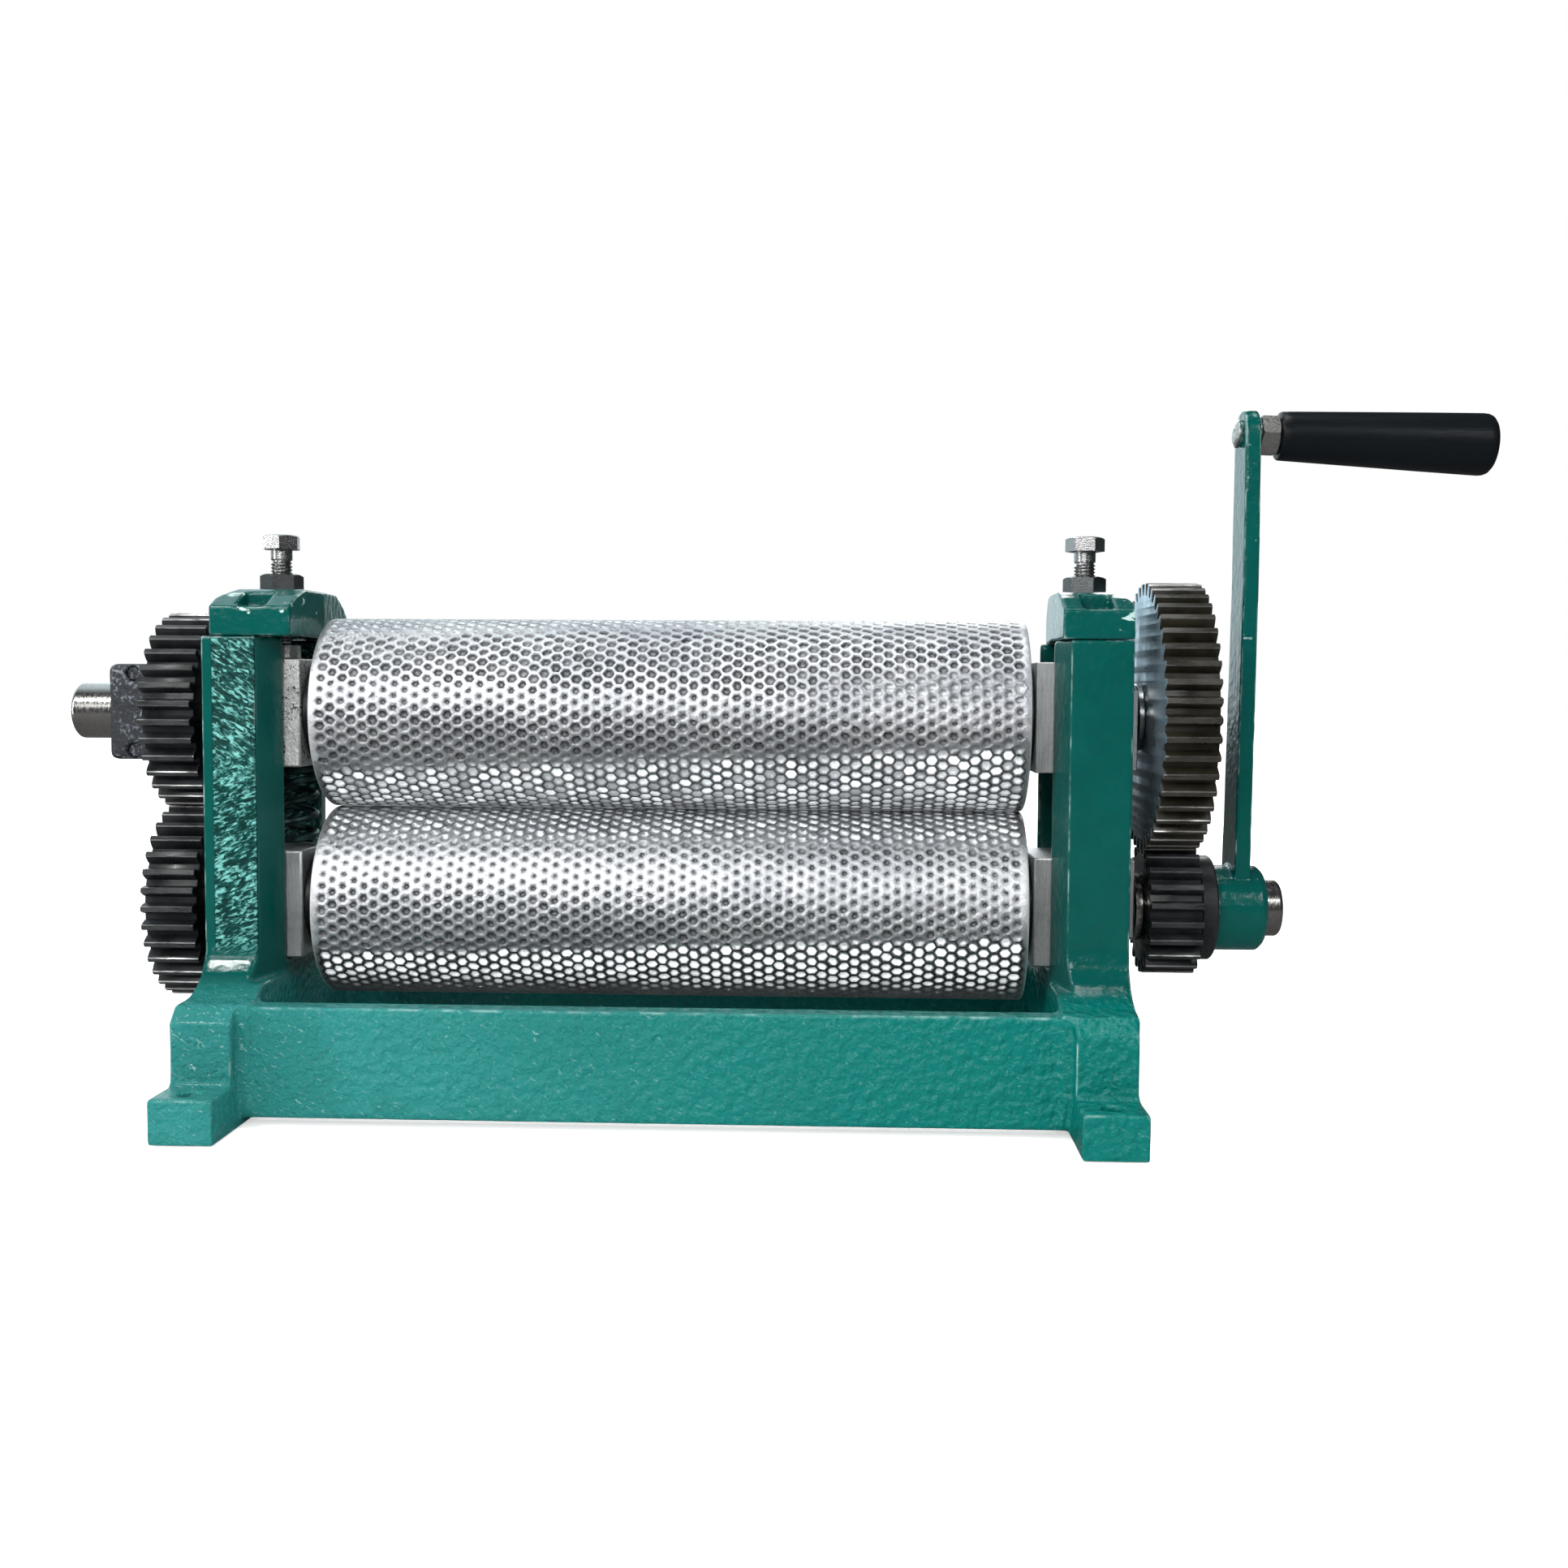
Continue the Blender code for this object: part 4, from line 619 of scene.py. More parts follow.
def engraved_mesh(name, low_x, high_x, axis_z, radius, bore, painted_light_swap_of, pit_of):
    """A roller covered in hexagon cells with a round pit in each, every point carrying painted light
    and shade. The two functions passed in give, for an angle and a place along, how far the
    painted light swaps bright and dark and how large the pit is."""
    pitch = 2 * math.pi * radius / CELLS_ROUND
    corner = pitch / math.sqrt(3)
    column_step = corner * 1.5
    columns = int((high_x - low_x - 2 * corner) / column_step) + 1
    margin = (high_x - low_x - (columns - 1) * column_step) / 2
    points, painted_light_shades, faces, shared = [], [], [], {}
    chance = random.Random(name)

    def add(x, along, depth, painted_light_shade):
        angle = along / radius
        reach = radius - depth
        points.append((x, -reach * math.cos(angle), axis_z + reach * math.sin(angle)))
        painted_light_shades.append(painted_light_shade)
        return len(points) - 1

    def add_shared(x, along, painted_light_shade):
        lap = round(along / pitch * 2) % (2 * CELLS_ROUND)
        key = (round((x - low_x) / corner * 4), lap)
        if key not in shared:
            shared[key] = add(x, along, 0, painted_light_shade)
        return shared[key]

    for column in range(columns):
        x = low_x + margin + column * column_step
        for row in range(CELLS_ROUND):
            along = (row + 0.5 * (column % 2)) * pitch
            angle = (math.degrees(along / radius) + 180) % 360 - 180
            painted_light_swap, size = painted_light_swap_of(angle, x), pit_of(angle, x)
            painted_light_swap = min(max(painted_light_swap + chance.uniform(-0.12, 0.12), 0), 1)
            size *= chance.uniform(0.76, 0.97)
            shift_x, shift_along = (pitch * chance.uniform(-0.032, 0.032) for _ in range(2))
            streak = rise(angle, 42, 60) if angle > 0 else 0
            squeeze = chance.uniform(0.70, 0.98) - 0.34 * streak
            lean = chance.uniform(0, math.pi) * (1 - streak) + PIT_LEAN * streak
            corners = []
            for i in range(6):
                turn = math.radians(60 * i)
                corners.append(
                    add_shared(x + corner * math.cos(turn), along + corner * math.sin(turn), painted_light_swap)
                )
            # Painted light and shade: each pit's rim and floor darker than the net, and lighter where the
            # painted light swaps
            rim_light_shade = 0.50 - 0.62 * painted_light_swap
            floor_light_shade = 0.76 - 1.14 * painted_light_swap
            rim, floor = [], []
            for i in range(PIT_STEPS):
                turn = 2 * math.pi * i / PIT_STEPS
                oval = 1 - (1 - squeeze) * math.cos(turn - lean) ** 2
                oval *= 1 + PIT_HEXAGON * math.cos(6 * turn) + PIT_WIDENING * math.cos(2 * turn)
                oval *= chance.uniform(0.90, 1.03)
                for ring, share, depth, painted_light_shade in (
                    (rim, PIT_RADIUS, 0.0, rim_light_shade),
                    (floor, PIT_FLOOR_RADIUS, PIT_DEPTH, floor_light_shade),
                ):
                    reach = pitch * share * size * oval
                    ring.append(
                        add(x + shift_x + reach * math.cos(turn),
                            along + shift_along + reach * math.sin(turn), depth * size, painted_light_shade)
                    )
            bottom = add(x + shift_x, along + shift_along, PIT_DEPTH * size * 1.15, floor_light_shade * 0.75)
            step = PIT_STEPS // 6
            for i in range(6):
                arc = [rim[(step * i + k) % PIT_STEPS] for k in range(step + 1)]
                faces.append([corners[i], corners[(i + 1) % 6], *reversed(arc)])
            for i in range(PIT_STEPS):
                j = (i + 1) % PIT_STEPS
                faces.append([rim[i], rim[j], floor[j], floor[i]])
                faces.append([floor[i], floor[j], bottom])

    for side, x_end in ((-1, low_x), (1, high_x)):
        column = 0 if side < 0 else columns - 1
        x = low_x + margin + column * column_step
        border = []
        for row in range(CELLS_ROUND):
            along = (row + 0.5 * (column % 2)) * pitch
            border.append(add_shared(x + side * corner, along, 0))
            border.append(add_shared(x + side * corner / 2, along + pitch / 2, 0))
        rings = [border]
        for x_ring, inset in (
            (x_end - side * ROLLER_RIM, 0),
            (x_end, ROLLER_RIM),
            (x_end, radius - bore),
        ):
            ring = []
            for step in range(2 * CELLS_ROUND):
                along = (step / 2 + 0.5 * (column % 2)) * pitch
                ring.append(add(x_ring, along, inset, 0))
            rings.append(ring)
        for inner, outer in zip(rings, rings[1:]):
            count = len(inner)
            for i in range(count):
                j = (i + 1) % count
                quad = [inner[i], inner[j], outer[j], outer[i]]
                faces.append(quad if side < 0 else quad[::-1])
    mesh = bpy.data.meshes.new(name)
    mesh.from_pydata(points, [], faces)
    mesh.update()
    attribute = mesh.attributes.new("painted_light_shade", "FLOAT", "POINT")
    attribute.data.foreach_set("value", np.array(painted_light_shades, np.float32))
    bm = bmesh.new()
    bm.from_mesh(mesh)
    bmesh.ops.recalc_face_normals(bm, faces=bm.faces)
    bm.to_mesh(mesh)
    bm.free()
    shade_round(mesh, math.radians(75))
    return mesh


# Painted light and shade, and pit sizes, over the rollers: bright and dark zones laid into the
# mesh, which turn with the rollers. An angle is in degrees above the roller's front, and
# along is measured from the rollers' middle.


def band(angle, centre, width):
    """A bump that is 1 at the centre."""
    return math.exp(-(((angle - centre) / width) ** 2))


def rise(value, low, high):
    """A smooth step from 0 at low to 1 at high."""
    share = min(max((value - low) / (high - low), 0), 1)
    return share * share * (3 - 2 * share)


def upper_painted_light(angle, x):
    """Painted light and shade: cells brighten and the net between them darkens at the upper
    roller's top right, and below its middle."""
    along = x - ROLLER_MIDDLE_X
    top = rise(angle, 50 + 90 * (along + 0.10), 62 + 90 * (along + 0.10)) * 0.6
    right = band(angle, 16, 9) * rise(along, 0.03, 0.11) * 0.62
    low = rise(-angle, 20 - 60 * (along + 0.02), 32 - 60 * (along + 0.02))
    return min(top + right + low * 0.82, 0.9)


def upper_pit(angle, x):
    """Pits close up in the bright band across the roller."""
    along = x - ROLLER_MIDDLE_X
    highlight = band(angle, 12 - 50 * (along + 0.12), 8)
    return 1 - 0.55 * highlight


def lower_painted_light(angle, x):
    """Painted light and shade: bright cells in a dark net low on the lower roller, first at the right."""
    along = x - ROLLER_MIDDLE_X
    nip = rise(angle, 38, 52) * 0.70
    low = rise(-angle, 14 - 50 * along, 24 - 50 * along)
    under = rise(-angle, 42, 68)
    return min(low + nip, 1.0) - 0.55 * under


def lower_pit(angle, x):
    """Pits close up in the bright band across the roller and shrink underneath."""
    along = x - ROLLER_MIDDLE_X
    highlight = band(angle, 22 - 50 * along, 19)
    low = rise(-angle, 14 - 50 * along, 24 - 50 * along)
    under = rise(-angle, 40, 62)
    return 1 - 0.62 * highlight - 0.04 * low - 0.30 * under


def add_rollers():
    for node, painted_light_swap_of, pit_of in (
        ("upper_roller", upper_painted_light, upper_pit),
        ("lower_roller", lower_painted_light, lower_pit),
    ):
        low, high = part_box(node)
        radius = (high.z - low.z) / 2 + NIP_CLOSING
        bore = side_lengths("upper_shaft").z / 2
        mesh = engraved_mesh(
            node + "_engraved", low.x, high.x, middle(node).z, radius, bore, painted_light_swap_of, pit_of
        )
        add_piece(node + "_engraved", mesh, body_of(node), looks["roller"], [node])


def gear_outline(teeth, tooth_at):
    """An involute gear. tooth_at is the angle in degrees of the middle of one tooth."""
    pitch_radius = MODULE * teeth / 2
    base_radius = pitch_radius * math.cos(PRESSURE_ANGLE)
    tip_radius = pitch_radius + ADDENDUM * MODULE
    root_radius = pitch_radius - DEDENDUM * MODULE
    involute_at_pitch = math.tan(PRESSURE_ANGLE) - PRESSURE_ANGLE
    half_tooth = (math.pi * MODULE / 2 - BACKLASH) / (2 * pitch_radius)

    def half_angle(radius):
        if radius <= base_radius:
            return half_tooth + involute_at_pitch
        pressure = math.acos(base_radius / radius)
        return half_tooth + involute_at_pitch - (math.tan(pressure) - pressure)

    start = max(base_radius, root_radius)
    radii = [start + (tip_radius - start) * i / FLANK_POINTS for i in range(FLANK_POINTS + 1)]
    if root_radius < base_radius:
        radii.insert(0, root_radius)
    outline = []
    for tooth in range(teeth):
        centre = math.radians(tooth_at) + 2 * math.pi * tooth / teeth
        flank = [(radius, half_angle(radius)) for radius in radii]
        for radius, half in [(r, -h) for r, h in flank] + list(reversed(flank)):
            outline.append((radius * math.cos(centre + half), radius * math.sin(centre + half)))
    return outline


def circle(radius, steps=64):
    return [
        (radius * math.cos(2 * math.pi * i / steps), radius * math.sin(2 * math.pi * i / steps))
        for i in range(steps)
    ]


def plate_mesh(name, outlines, thickness, edge, place):
    """Flat outlines across X made solid to both sides, with their edges eased."""
    curve = bpy.data.curves.new(name, "CURVE")
    curve.dimensions = "2D"
    curve.fill_mode = "BOTH"
    curve.extrude = thickness / 2 - edge
    curve.bevel_depth = edge
    curve.offset = -edge
    curve.bevel_resolution = 1
    for outline in outlines:
        spline = curve.splines.new("POLY")
        spline.points.add(len(outline) - 1)
        for point, (across, up) in zip(spline.points, outline):
            point.co = (across, up, 0, 1)
        spline.use_cyclic_u = True
    draft = bpy.data.objects.new(name, curve)
    bpy.context.scene.collection.objects.link(draft)
    graph = bpy.context.evaluated_depsgraph_get()
    mesh = bpy.data.meshes.new_from_object(draft.evaluated_get(graph))
    bpy.data.objects.remove(draft)
    bpy.data.curves.remove(curve)
    to_x = Matrix(((0, 0, 1), (1, 0, 0), (0, 1, 0))).to_4x4()
    mesh.transform(Matrix.Translation(place) @ to_x)
    bm = bmesh.new()
    bm.from_mesh(mesh)
    bmesh.ops.remove_doubles(bm, verts=bm.verts, dist=MERGE_DISTANCE)
    bmesh.ops.recalc_face_normals(bm, faces=bm.faces)
    bm.to_mesh(mesh)
    bm.free()
    shade_round(mesh, math.radians(30))
    return mesh


def turned_mesh(name, profile, steps=64, closed=False):
    """A profile of (along, radius) pairs turned about X."""
    bm = bmesh.new()
    corners = [bm.verts.new((along, 0, radius)) for along, radius in profile]
    edges = [bm.edges.new(pair) for pair in zip(corners, corners[1:])]
    if closed:
        edges.append(bm.edges.new((corners[-1], corners[0])))
    bmesh.ops.spin(
        bm, geom=corners + edges, cent=(0, 0, 0), axis=(1, 0, 0), dvec=(0, 0, 0),
        angle=2 * math.pi, steps=steps, use_merge=True, use_duplicate=False,
    )
    bmesh.ops.remove_doubles(bm, verts=bm.verts, dist=MERGE_DISTANCE)
    bmesh.ops.recalc_face_normals(bm, faces=bm.faces)
    return mesh_from(bm, name)


def add_gear(node, teeth, tooth_at, material):
    low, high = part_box(node)
    axis_z = UPPER_AXIS_Z if node in ("upper_timing_gear", "drive_wheel") else LOWER_AXIS_Z
    name = node + "_teeth"
    mesh = plate_mesh(
        name, [gear_outline(teeth, tooth_at), circle(GEAR_BORE_RADIUS)], high.x - low.x,
        TOOTH_EDGE, ((low.x + high.x) / 2, 0, axis_z),
    )
    add_piece(name, mesh, body_of(node), material, [node])


def add_gears():
    add_gear("upper_timing_gear", TIMING_TEETH, -90, looks["upper_timing_gear"])
    add_gear("lower_timing_gear", TIMING_TEETH, 90 + 180 / TIMING_TEETH, looks["lower_timing_gear"])
    add_gear("drive_wheel", WHEEL_TEETH, 180, looks["drive_wheel"])
    add_pinion()


def add_pinion():
    """The pinion's teeth and, beyond them, its flange towards the crank."""
    low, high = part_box("pinion")
    teeth_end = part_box("drive_wheel")[1].x + 0.001
    width = teeth_end - low.x
    mesh = plate_mesh(
        "pinion_teeth", [gear_outline(PINION_TEETH, 90), circle(GEAR_BORE_RADIUS)], width,
        TOOTH_EDGE, (low.x + width / 2, 0, LOWER_AXIS_Z),
    )
    add_piece("pinion_teeth", mesh, "crank", looks["pinion"], ["pinion"])
    flange = turned_mesh(
        "pinion_flange",
        [
            (high.x, GEAR_BORE_RADIUS),
            (high.x, FLANGE_RADIUS - FLANGE_EDGE),
            (high.x - FLANGE_EDGE, FLANGE_RADIUS),
            (teeth_end + FLANGE_EDGE, FLANGE_RADIUS),
            (teeth_end, FLANGE_RADIUS - FLANGE_EDGE),
            (teeth_end - FLANGE_EDGE, GEAR_BORE_RADIUS),
        ],
        closed=True,
    )
    flange.transform(Matrix.Translation((0, 0, LOWER_AXIS_Z)))
    add_piece("pinion_flange", flange, "crank", looks["pinion"])


def hexagon_mesh(name, across, low, high, chamfer_low, chamfer_high):
    """A hexagon along Z whose corners are turned off at the ends that are asked for."""
    corner = across / math.sqrt(3)
    bm = bmesh.new()
    bmesh.ops.create_cone(
        bm, cap_ends=True, segments=6, radius1=corner, radius2=corner, depth=high - low
    )
    bmesh.ops.translate(bm, vec=(0, 0, (low + high) / 2), verts=bm.verts)
    prism = bpy.data.objects.new(name, mesh_from(bm, name, smooth=False))
    bpy.context.scene.collection.objects.link(prism)
    flat, slope = across * 0.475, 0.55
    drop = (corner - flat) * slope
    bm = bmesh.new()
    profile = [(0, low - (0 if chamfer_low else 0.001))]
    if chamfer_low:
        profile += [(flat, low), (corner * 1.02, low + drop * 1.02)]
    else:
        profile += [(corner * 1.02, low - 0.001)]
    if chamfer_high:
        profile += [(corner * 1.02, high - drop * 1.02), (flat, high), (0, high)]
    else:
        profile += [(corner * 1.02, high + 0.001), (0, high + 0.001)]
    points = [bm.verts.new((radius, 0, z)) for radius, z in profile]
    edges = [bm.edges.new(pair) for pair in zip(points, points[1:])]
    bmesh.ops.spin(bm, geom=points + edges, axis=(0, 0, 1), cent=(0, 0, 0), dvec=(0, 0, 0),
                   angle=2 * math.pi, steps=48, use_merge=True, use_duplicate=False)
    bmesh.ops.remove_doubles(bm, verts=bm.verts, dist=MERGE_DISTANCE)
    bmesh.ops.recalc_face_normals(bm, faces=bm.faces)
    turned = bpy.data.objects.new(name + "_turned", mesh_from(bm, name + "_turned", smooth=False))
    bpy.context.scene.collection.objects.link(turned)
    modifier = prism.modifiers.new("corners", "BOOLEAN")
    modifier.operation = "INTERSECT"
    modifier.solver = "EXACT"
    modifier.object = turned
    graph = bpy.context.evaluated_depsgraph_get()
    mesh = bpy.data.meshes.new_from_object(prism.evaluated_get(graph))
    for obj in (prism, turned):
        bpy.data.objects.remove(obj)
    mesh.name = name
    shade_round(mesh, math.radians(20))
    return mesh


def thread_mesh(name, low, high, radius, pitch):
    """A screw thread along Z, from low to high."""
    bm = bmesh.new()
    profile = [(radius - THREAD_DEPTH, 0.0), (radius - THREAD_DEPTH / 5, pitch * 0.38),
               (radius, pitch * 0.45), (radius, pitch * 0.55),
               (radius - THREAD_DEPTH / 5, pitch * 0.62), (radius - THREAD_DEPTH, pitch)]
    points = [bm.verts.new((reach, 0, low + rise_by)) for reach, rise_by in profile]
    edges = [bm.edges.new(pair) for pair in zip(points, points[1:])]
    steps, turns = 32, int((high - low) / pitch) - 1
    bmesh.ops.spin(bm, geom=points + edges, axis=(0, 0, 1), cent=(0, 0, 0),
                   dvec=(0, 0, pitch / steps), angle=2 * math.pi * turns, steps=steps * turns,
                   use_merge=False, use_duplicate=False)
    bmesh.ops.remove_doubles(bm, verts=bm.verts, dist=MERGE_DISTANCE)
    bmesh.ops.recalc_face_normals(bm, faces=bm.faces)
    return mesh_from(bm, name)


def joined(name, meshes):
    bm = bmesh.new()
    for mesh in meshes:
        bm.from_mesh(mesh)
    return mesh_from(bm, name, smooth=False)


def rod_mesh(name, low, high, radius, edge=0.0004):
    """A round rod along Z, from low to high."""
    profile = [(high, 0), (high, radius - edge), (high - edge, radius)]
    profile += [(low + edge, radius), (low, radius - edge), (low, 0)]
    mesh = turned_mesh(name, profile, 48)
    mesh.transform(Matrix(((0, 0, -1, 0), (0, 1, 0, 0), (1, 0, 0, 0), (0, 0, 0, 1))))
    return mesh


def add_adjuster(side):
    """An adjusting screw with its thread, and the chamfered lock nut on it."""
    node = side + "_adjusting_screw"
    low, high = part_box(node)
    place = Matrix.Translation((middle(node).x, middle(node).y, 0))
    head_low = high.z - ADJUSTER_HEAD_HEIGHT
    head = hexagon_mesh(node + "_head", high.x - low.x, head_low, high.z, False, True)
    head.transform(Matrix.Rotation(math.radians(ADJUSTER_HEAD_TURN[side]), 4, "Z"))
    plain_low = head_low - ADJUSTER_PLAIN_LENGTH
    shank = rod_mesh(node + "_shank", plain_low, head_low + 0.0005, ADJUSTER_RADIUS)
    core = rod_mesh(node + "_core", low.z, plain_low + 0.0005, ADJUSTER_RADIUS - THREAD_DEPTH)
    thread = thread_mesh(
        node + "_thread", low.z, plain_low + 0.001, ADJUSTER_RADIUS, ADJUSTER_THREAD_PITCH
    )
    mesh = joined(node + "_look", [head, shank, core, thread])
    mesh.transform(place)
    add_piece(node + "_look", mesh, side + "_screw", looks["zinc"], [node])
    nut = side + "_lock_nut"
    nut_low, nut_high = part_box(nut)
    mesh = hexagon_mesh(nut + "_look", nut_high.x - nut_low.x, nut_low.z, nut_high.z, True, True)
    mesh.transform(place @ Matrix.Rotation(math.radians(LOCK_NUT_TURN[side]), 4, "Z"))
    add_piece(nut + "_look", mesh, side + "_nut", looks["nut"], [nut])


def add_grip():
    """The moulded grip: a long taper with a rounded rim and a slightly domed end."""
    low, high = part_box("grip")
    droop = Vector(frame_joint("grip_spin")["axis"])
    pivot = Vector(frame_joint("grip_spin")["pos_m"])
    start = (low.x - pivot.x) / droop.x + GRIP_END_GAP
    end = (high.x - pivot.x) / droop.x - GRIP_END_GAP
    near, far = GRIP_NEAR_RADIUS, GRIP_FAR_RADIUS
    profile = [(end - inset, radius) for inset, radius in GRIP_END_ROUND]
    for share in (0.75, 0.5, 0.25, 0.05):
        profile.append((start + (end - 0.008 - start) * share, near + (far - near) * share))
    profile += [(start + 0.0008, near), (start + 0.0002, near - 0.0004)]
    profile += [(start, near - 0.0012), (start, GRIP_BORE_RADIUS)]
    mesh = turned_mesh("grip_look", profile, 72)
    turn = Vector((1, 0, 0)).rotation_difference(droop).to_matrix().to_4x4()
    mesh.transform(Matrix.Translation(pivot) @ turn)
    add_piece("grip_look", mesh, "grip", looks["plastic"], ["grip"])


def add_grip_seat():
    """The hexagon collar against the grip, and the painted blob of weld over the rivet."""
    droop = Vector(frame_joint("grip_spin")["axis"])
    half = GRIP_COLLAR_LENGTH / 2
    mesh = hexagon_mesh("grip_collar_look", GRIP_COLLAR_ACROSS, -half, half, True, True)
    turn = Vector((0, 0, 1)).rotation_difference(droop).to_matrix().to_4x4()
    mesh.transform(Matrix.Translation(middle("grip_collar")) @ turn)
    add_piece("grip_collar_look", mesh, "crank", looks["steel"], ["grip_collar"])
    seat = Vector(frame_joint("grip_spin")["pos_m"])
    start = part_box("crank_spindle")[0].x + RIVET_BLOB_THICKNESS
    place = seat + droop * (start - seat.x) / droop.x
    bm = bmesh.new()
    bmesh.ops.create_icosphere(bm, subdivisions=4, radius=1)
    chance = random.Random("weld")
    lumps = []
    for _ in range(RIVET_BLOB_LUMPS):
        lump = Vector([chance.uniform(-1, 1) for _ in range(3)]).normalized()
        lumps.append((lump, chance.uniform(0.04, 0.16)))
    for vertex in bm.verts:
        point = vertex.co.normalized()
        swell = 0.84
        swell += sum(height * max(point.dot(lump) - 0.7, 0) / 0.3 for lump, height in lumps)
        vertex.co = point * min(swell, 1.0)
    mesh = mesh_from(bm, "rivet_weld")
    size = Matrix.Diagonal((RIVET_BLOB_THICKNESS, RIVET_BLOB_RADIUS, RIVET_BLOB_RADIUS, 1))
    mesh.transform(Matrix.Translation(place) @ size)
    add_piece("rivet_weld", mesh, "crank", looks["paint"])


def frame_joint(name):
    return next(joint for joint in frame["joints"] if joint["name"] == name)


def add_castings():
    cast("frame", looks["paint"], FRAME_VOXEL)
    for side in ("left", "right"):
        cast(side + "_cap", looks["paint"], SMALL_VOXEL)
    cast("crank_arm", looks["paint"], SMALL_VOXEL)
    cast("timing_hub", looks["black_casting"], SMALL_VOXEL, HUB_ROUNDING)


def add_rest():
    """Every other CAD node, with eased edges and the finish of its kind."""
    finish = {
        "bare_steel": looks["steel"],
        "black_gear_steel": looks["black_steel"],
        "bronze": looks["bronze"],
        "zinc_steel": looks["zinc"],
    }
    for node in sorted(frame["nodes"]):
        if frame["nodes"][node].hide_render:
            continue
        if node.endswith("_block"):
            wear_and_sheen = node == "upper_left_block"
            refined(node, looks["worn_block" if wear_and_sheen else "block"], 0.0009)
        elif node.endswith("_spring"):
            refined(node, looks["spring"], 0)
        elif node.startswith("timing_hub_screw"):
            refined(node, looks["black_casting"], 0.0002)
        elif node.endswith("_shaft") or node.endswith("_spacer"):
            refined(node, looks["shaft"], 0.0008)
        else:
            refined(node, finish[slot_of(node)], 0.0002)


# Studio


def area_light(name, place, target, size, energy):
    data = bpy.data.lights.new(name, "AREA")
    data.shape = "RECTANGLE"
    data.size, data.size_y = size
    data.energy = energy
    obj = bpy.data.objects.new(name, data)
    bpy.context.scene.collection.objects.link(obj)
    obj.location = place
    obj.rotation_euler = (Vector(target) - Vector(place)).to_track_quat("-Z", "Y").to_euler()


def add_world():
    """White behind the object. Shiny faces see a dark room in front and a bright wall behind."""
    world = bpy.data.worlds.new("studio")
    bpy.context.scene.world = world
    world.use_nodes = True
    tree = world.node_tree

    def add(kind, **settings):
        node = tree.nodes.new(kind)
        for key, value in settings.items():
            setattr(node, key, value)
        return node

    path = add("ShaderNodeLightPath")
    split = add("ShaderNodeSeparateXYZ")
    tree.links.new(add("ShaderNodeTexCoord").outputs["Generated"], split.inputs["Vector"])
    behind = add("ShaderNodeMapRange", interpolation_type="SMOOTHSTEP")
    behind.inputs["From Min"].default_value = -0.25
    behind.inputs["From Max"].default_value = 0.45
    tree.links.new(split.outputs["Y"], behind.inputs["Value"])
    leftward = add("ShaderNodeMapRange", interpolation_type="SMOOTHSTEP")
    leftward.inputs["From Min"].default_value = 0.15
    leftward.inputs["From Max"].default_value = -0.05
    tree.links.new(split.outputs["X"], leftward.inputs["Value"])
    wall = add("ShaderNodeMath", operation="MULTIPLY")
    tree.links.new(behind.outputs["Result"], wall.inputs[0])
    tree.links.new(leftward.outputs["Result"], wall.inputs[1])
    room = add("ShaderNodeMix", data_type="RGBA")
    room.inputs[6].default_value = (*ROOM_IN_FRONT, 1)
    room.inputs[7].default_value = (*WALL_BEHIND, 1)
    tree.links.new(wall.outputs["Value"], room.inputs["Factor"])
    fill = add("ShaderNodeMix", data_type="RGBA")
    fill.inputs[6].default_value = (*FILL_LIGHT, 1)
    tree.links.new(path.outputs["Is Glossy Ray"], fill.inputs["Factor"])
    tree.links.new(room.outputs[2], fill.inputs[7])
    seen = add("ShaderNodeMath", operation="MAXIMUM")
    tree.links.new(path.outputs["Is Camera Ray"], seen.inputs[0])
    tree.links.new(path.outputs["Is Transmission Ray"], seen.inputs[1])
    final = add("ShaderNodeMix", data_type="RGBA")
    tree.links.new(seen.outputs["Value"], final.inputs["Factor"])
    tree.links.new(fill.outputs[2], final.inputs[6])
    final.inputs[7].default_value = (1, 1, 1, 1)
    tree.links.new(final.outputs[2], tree.nodes["Background"].inputs["Color"])


def add_floor():
    """A pale floor that is white away from the object's shadow."""
    bm = bmesh.new()
    bmesh.ops.create_grid(bm, x_segments=1, y_segments=1, size=FLOOR_SIZE)
    mesh = mesh_from(bm, "floor", smooth=False)
    floor = bpy.data.objects.new("floor", mesh)
    bpy.context.scene.collection.objects.link(floor)
    look = Look("floor", FLOOR_GREY, 0.9)
    look.set("Specular IOR Level", 0.1)
    paths = look.add("ShaderNodeLightPath")
    mirrored = paths.outputs["Is Glossy Ray"]
    look.set("Base Color", look.mix(mirrored, FLOOR_GREY, MIRRORED_FLOOR_GREY))
    look.set("Emission Color", (1, 1, 1, 1))
    away = look.add("ShaderNodeVectorMath", {"operation": "LENGTH"})
    look.feed(away.inputs[0], look.place)
    seen = paths.outputs["Is Camera Ray"]
    glow = look.math("MULTIPLY", look.ramp(away.outputs["Value"], 0.25, 0.70, 0.55, 1.0), seen)
    look.set("Emission Strength", glow)
    mesh.materials.append(look.material)
    floor.location.z = cad_bounds[0].z - FLOOR_DROP


def add_lights():
    target = (ROLLER_MIDDLE_X, 0, LIGHT_TARGET_Z)
    for name, place, size, energy in LIGHTS:
        area_light(name, place, target, size, energy)


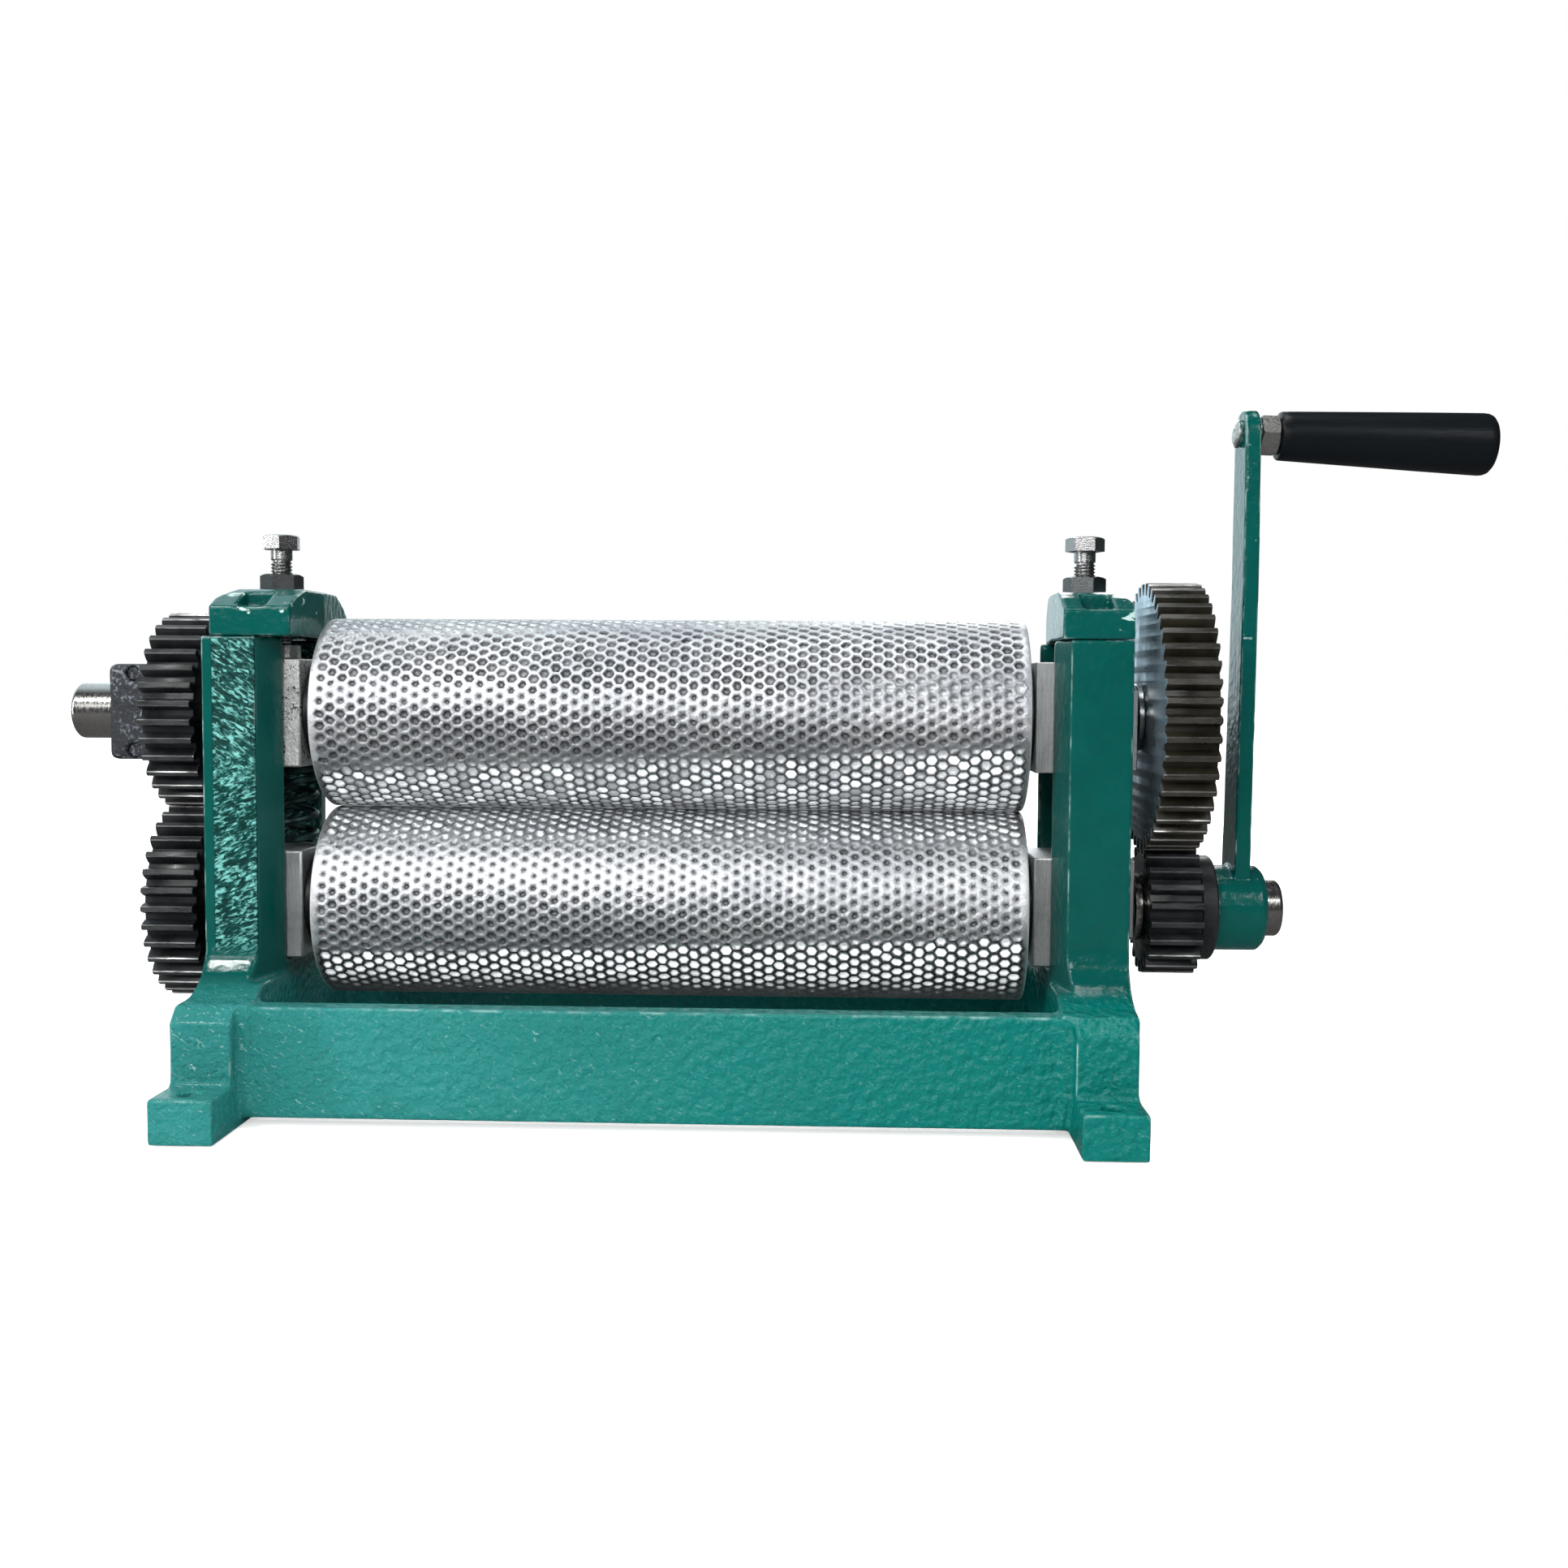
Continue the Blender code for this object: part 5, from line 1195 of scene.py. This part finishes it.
def add_camera():
    data = bpy.data.cameras.new("camera")
    data.lens = CAMERA_LENS
    data.sensor_width = SENSOR_WIDTH
    data.clip_start = 0.02
    camera = bpy.data.objects.new("camera", data)
    bpy.context.scene.collection.objects.link(camera)
    turn = Matrix.Rotation(CAMERA_YAW, 4, "Z")
    turn = turn @ Matrix.Rotation(math.pi / 2 - CAMERA_PITCH, 4, "X")
    turn = turn @ Matrix.Rotation(CAMERA_ROLL, 4, "Z")
    place = CAMERA_OFFSET + Vector((ROLLER_MIDDLE_X, 0, 0))
    camera.matrix_world = Matrix.Translation(place) @ turn
    bpy.context.scene.camera = camera


looks = {
    "paint": paint_look("paint"),
    "roller": roller_look("engraved_aluminium"),
    # After the tip radius and colour: the strength of the painted highlight on the teeth, then the face
    # colour, a painted reflection on the drive wheel
    "upper_timing_gear": gear_look("upper_timing_gear", UPPER_AXIS_Z, TIMING_TIP, BLACK, 0.9, BLACK_FACE),
    "lower_timing_gear": gear_look("lower_timing_gear", LOWER_AXIS_Z, TIMING_TIP, BLACK, 0.9, BLACK_FACE),
    "drive_wheel": gear_look("drive_wheel", UPPER_AXIS_Z, WHEEL_TIP, BROWN, 0.55, FACE_REFLECTION_BLUE),
    "pinion": gear_look("pinion", LOWER_AXIS_Z, PINION_TIP, BLACK, 0.55, BLACK_FACE),
    "block": steel_look("block_steel", (0.56, 0.57, 0.57), 0.42, (2, 2, 0.12), 0.35, 0.15),
    "worn_block": steel_look("worn_block_steel", (0.74, 0.74, 0.72), 0.45, (1, 1, 1), 0.4, 1.0),
    "shaft": steel_look("shaft_steel", (0.42, 0.41, 0.39), 0.18, (1.5, 0.4, 0.4), 0.35, relief=0.00006),
    "steel": steel_look("bare_steel", (0.50, 0.49, 0.47), 0.32),
    "spring": steel_look("spring_steel", (0.045, 0.085, 0.085), 0.45, stain=0.6),
    "zinc": steel_look("zinc_steel", (0.36, 0.36, 0.36), 0.26, (1, 1, 2), 0.3),
    "nut": steel_look("nut_steel", (0.10, 0.105, 0.108), 0.34, (1, 1, 2), 0.5),
    "black_steel": steel_look("black_steel", (0.035, 0.035, 0.038), 0.42),
    "black_casting": black_casting_look("black_casting"),
    "plastic": plastic_look("black_plastic"),
    "bronze": bronze_look("bronze"),
}

bpy.context.scene.view_settings.view_transform = "Standard"
add_camera()
add_world()
add_floor()
add_lights()
add_rollers()
add_gears()
add_castings()
for side_name in ("left", "right"):
    add_adjuster(side_name)
add_grip()
add_grip_seat()
add_rest()
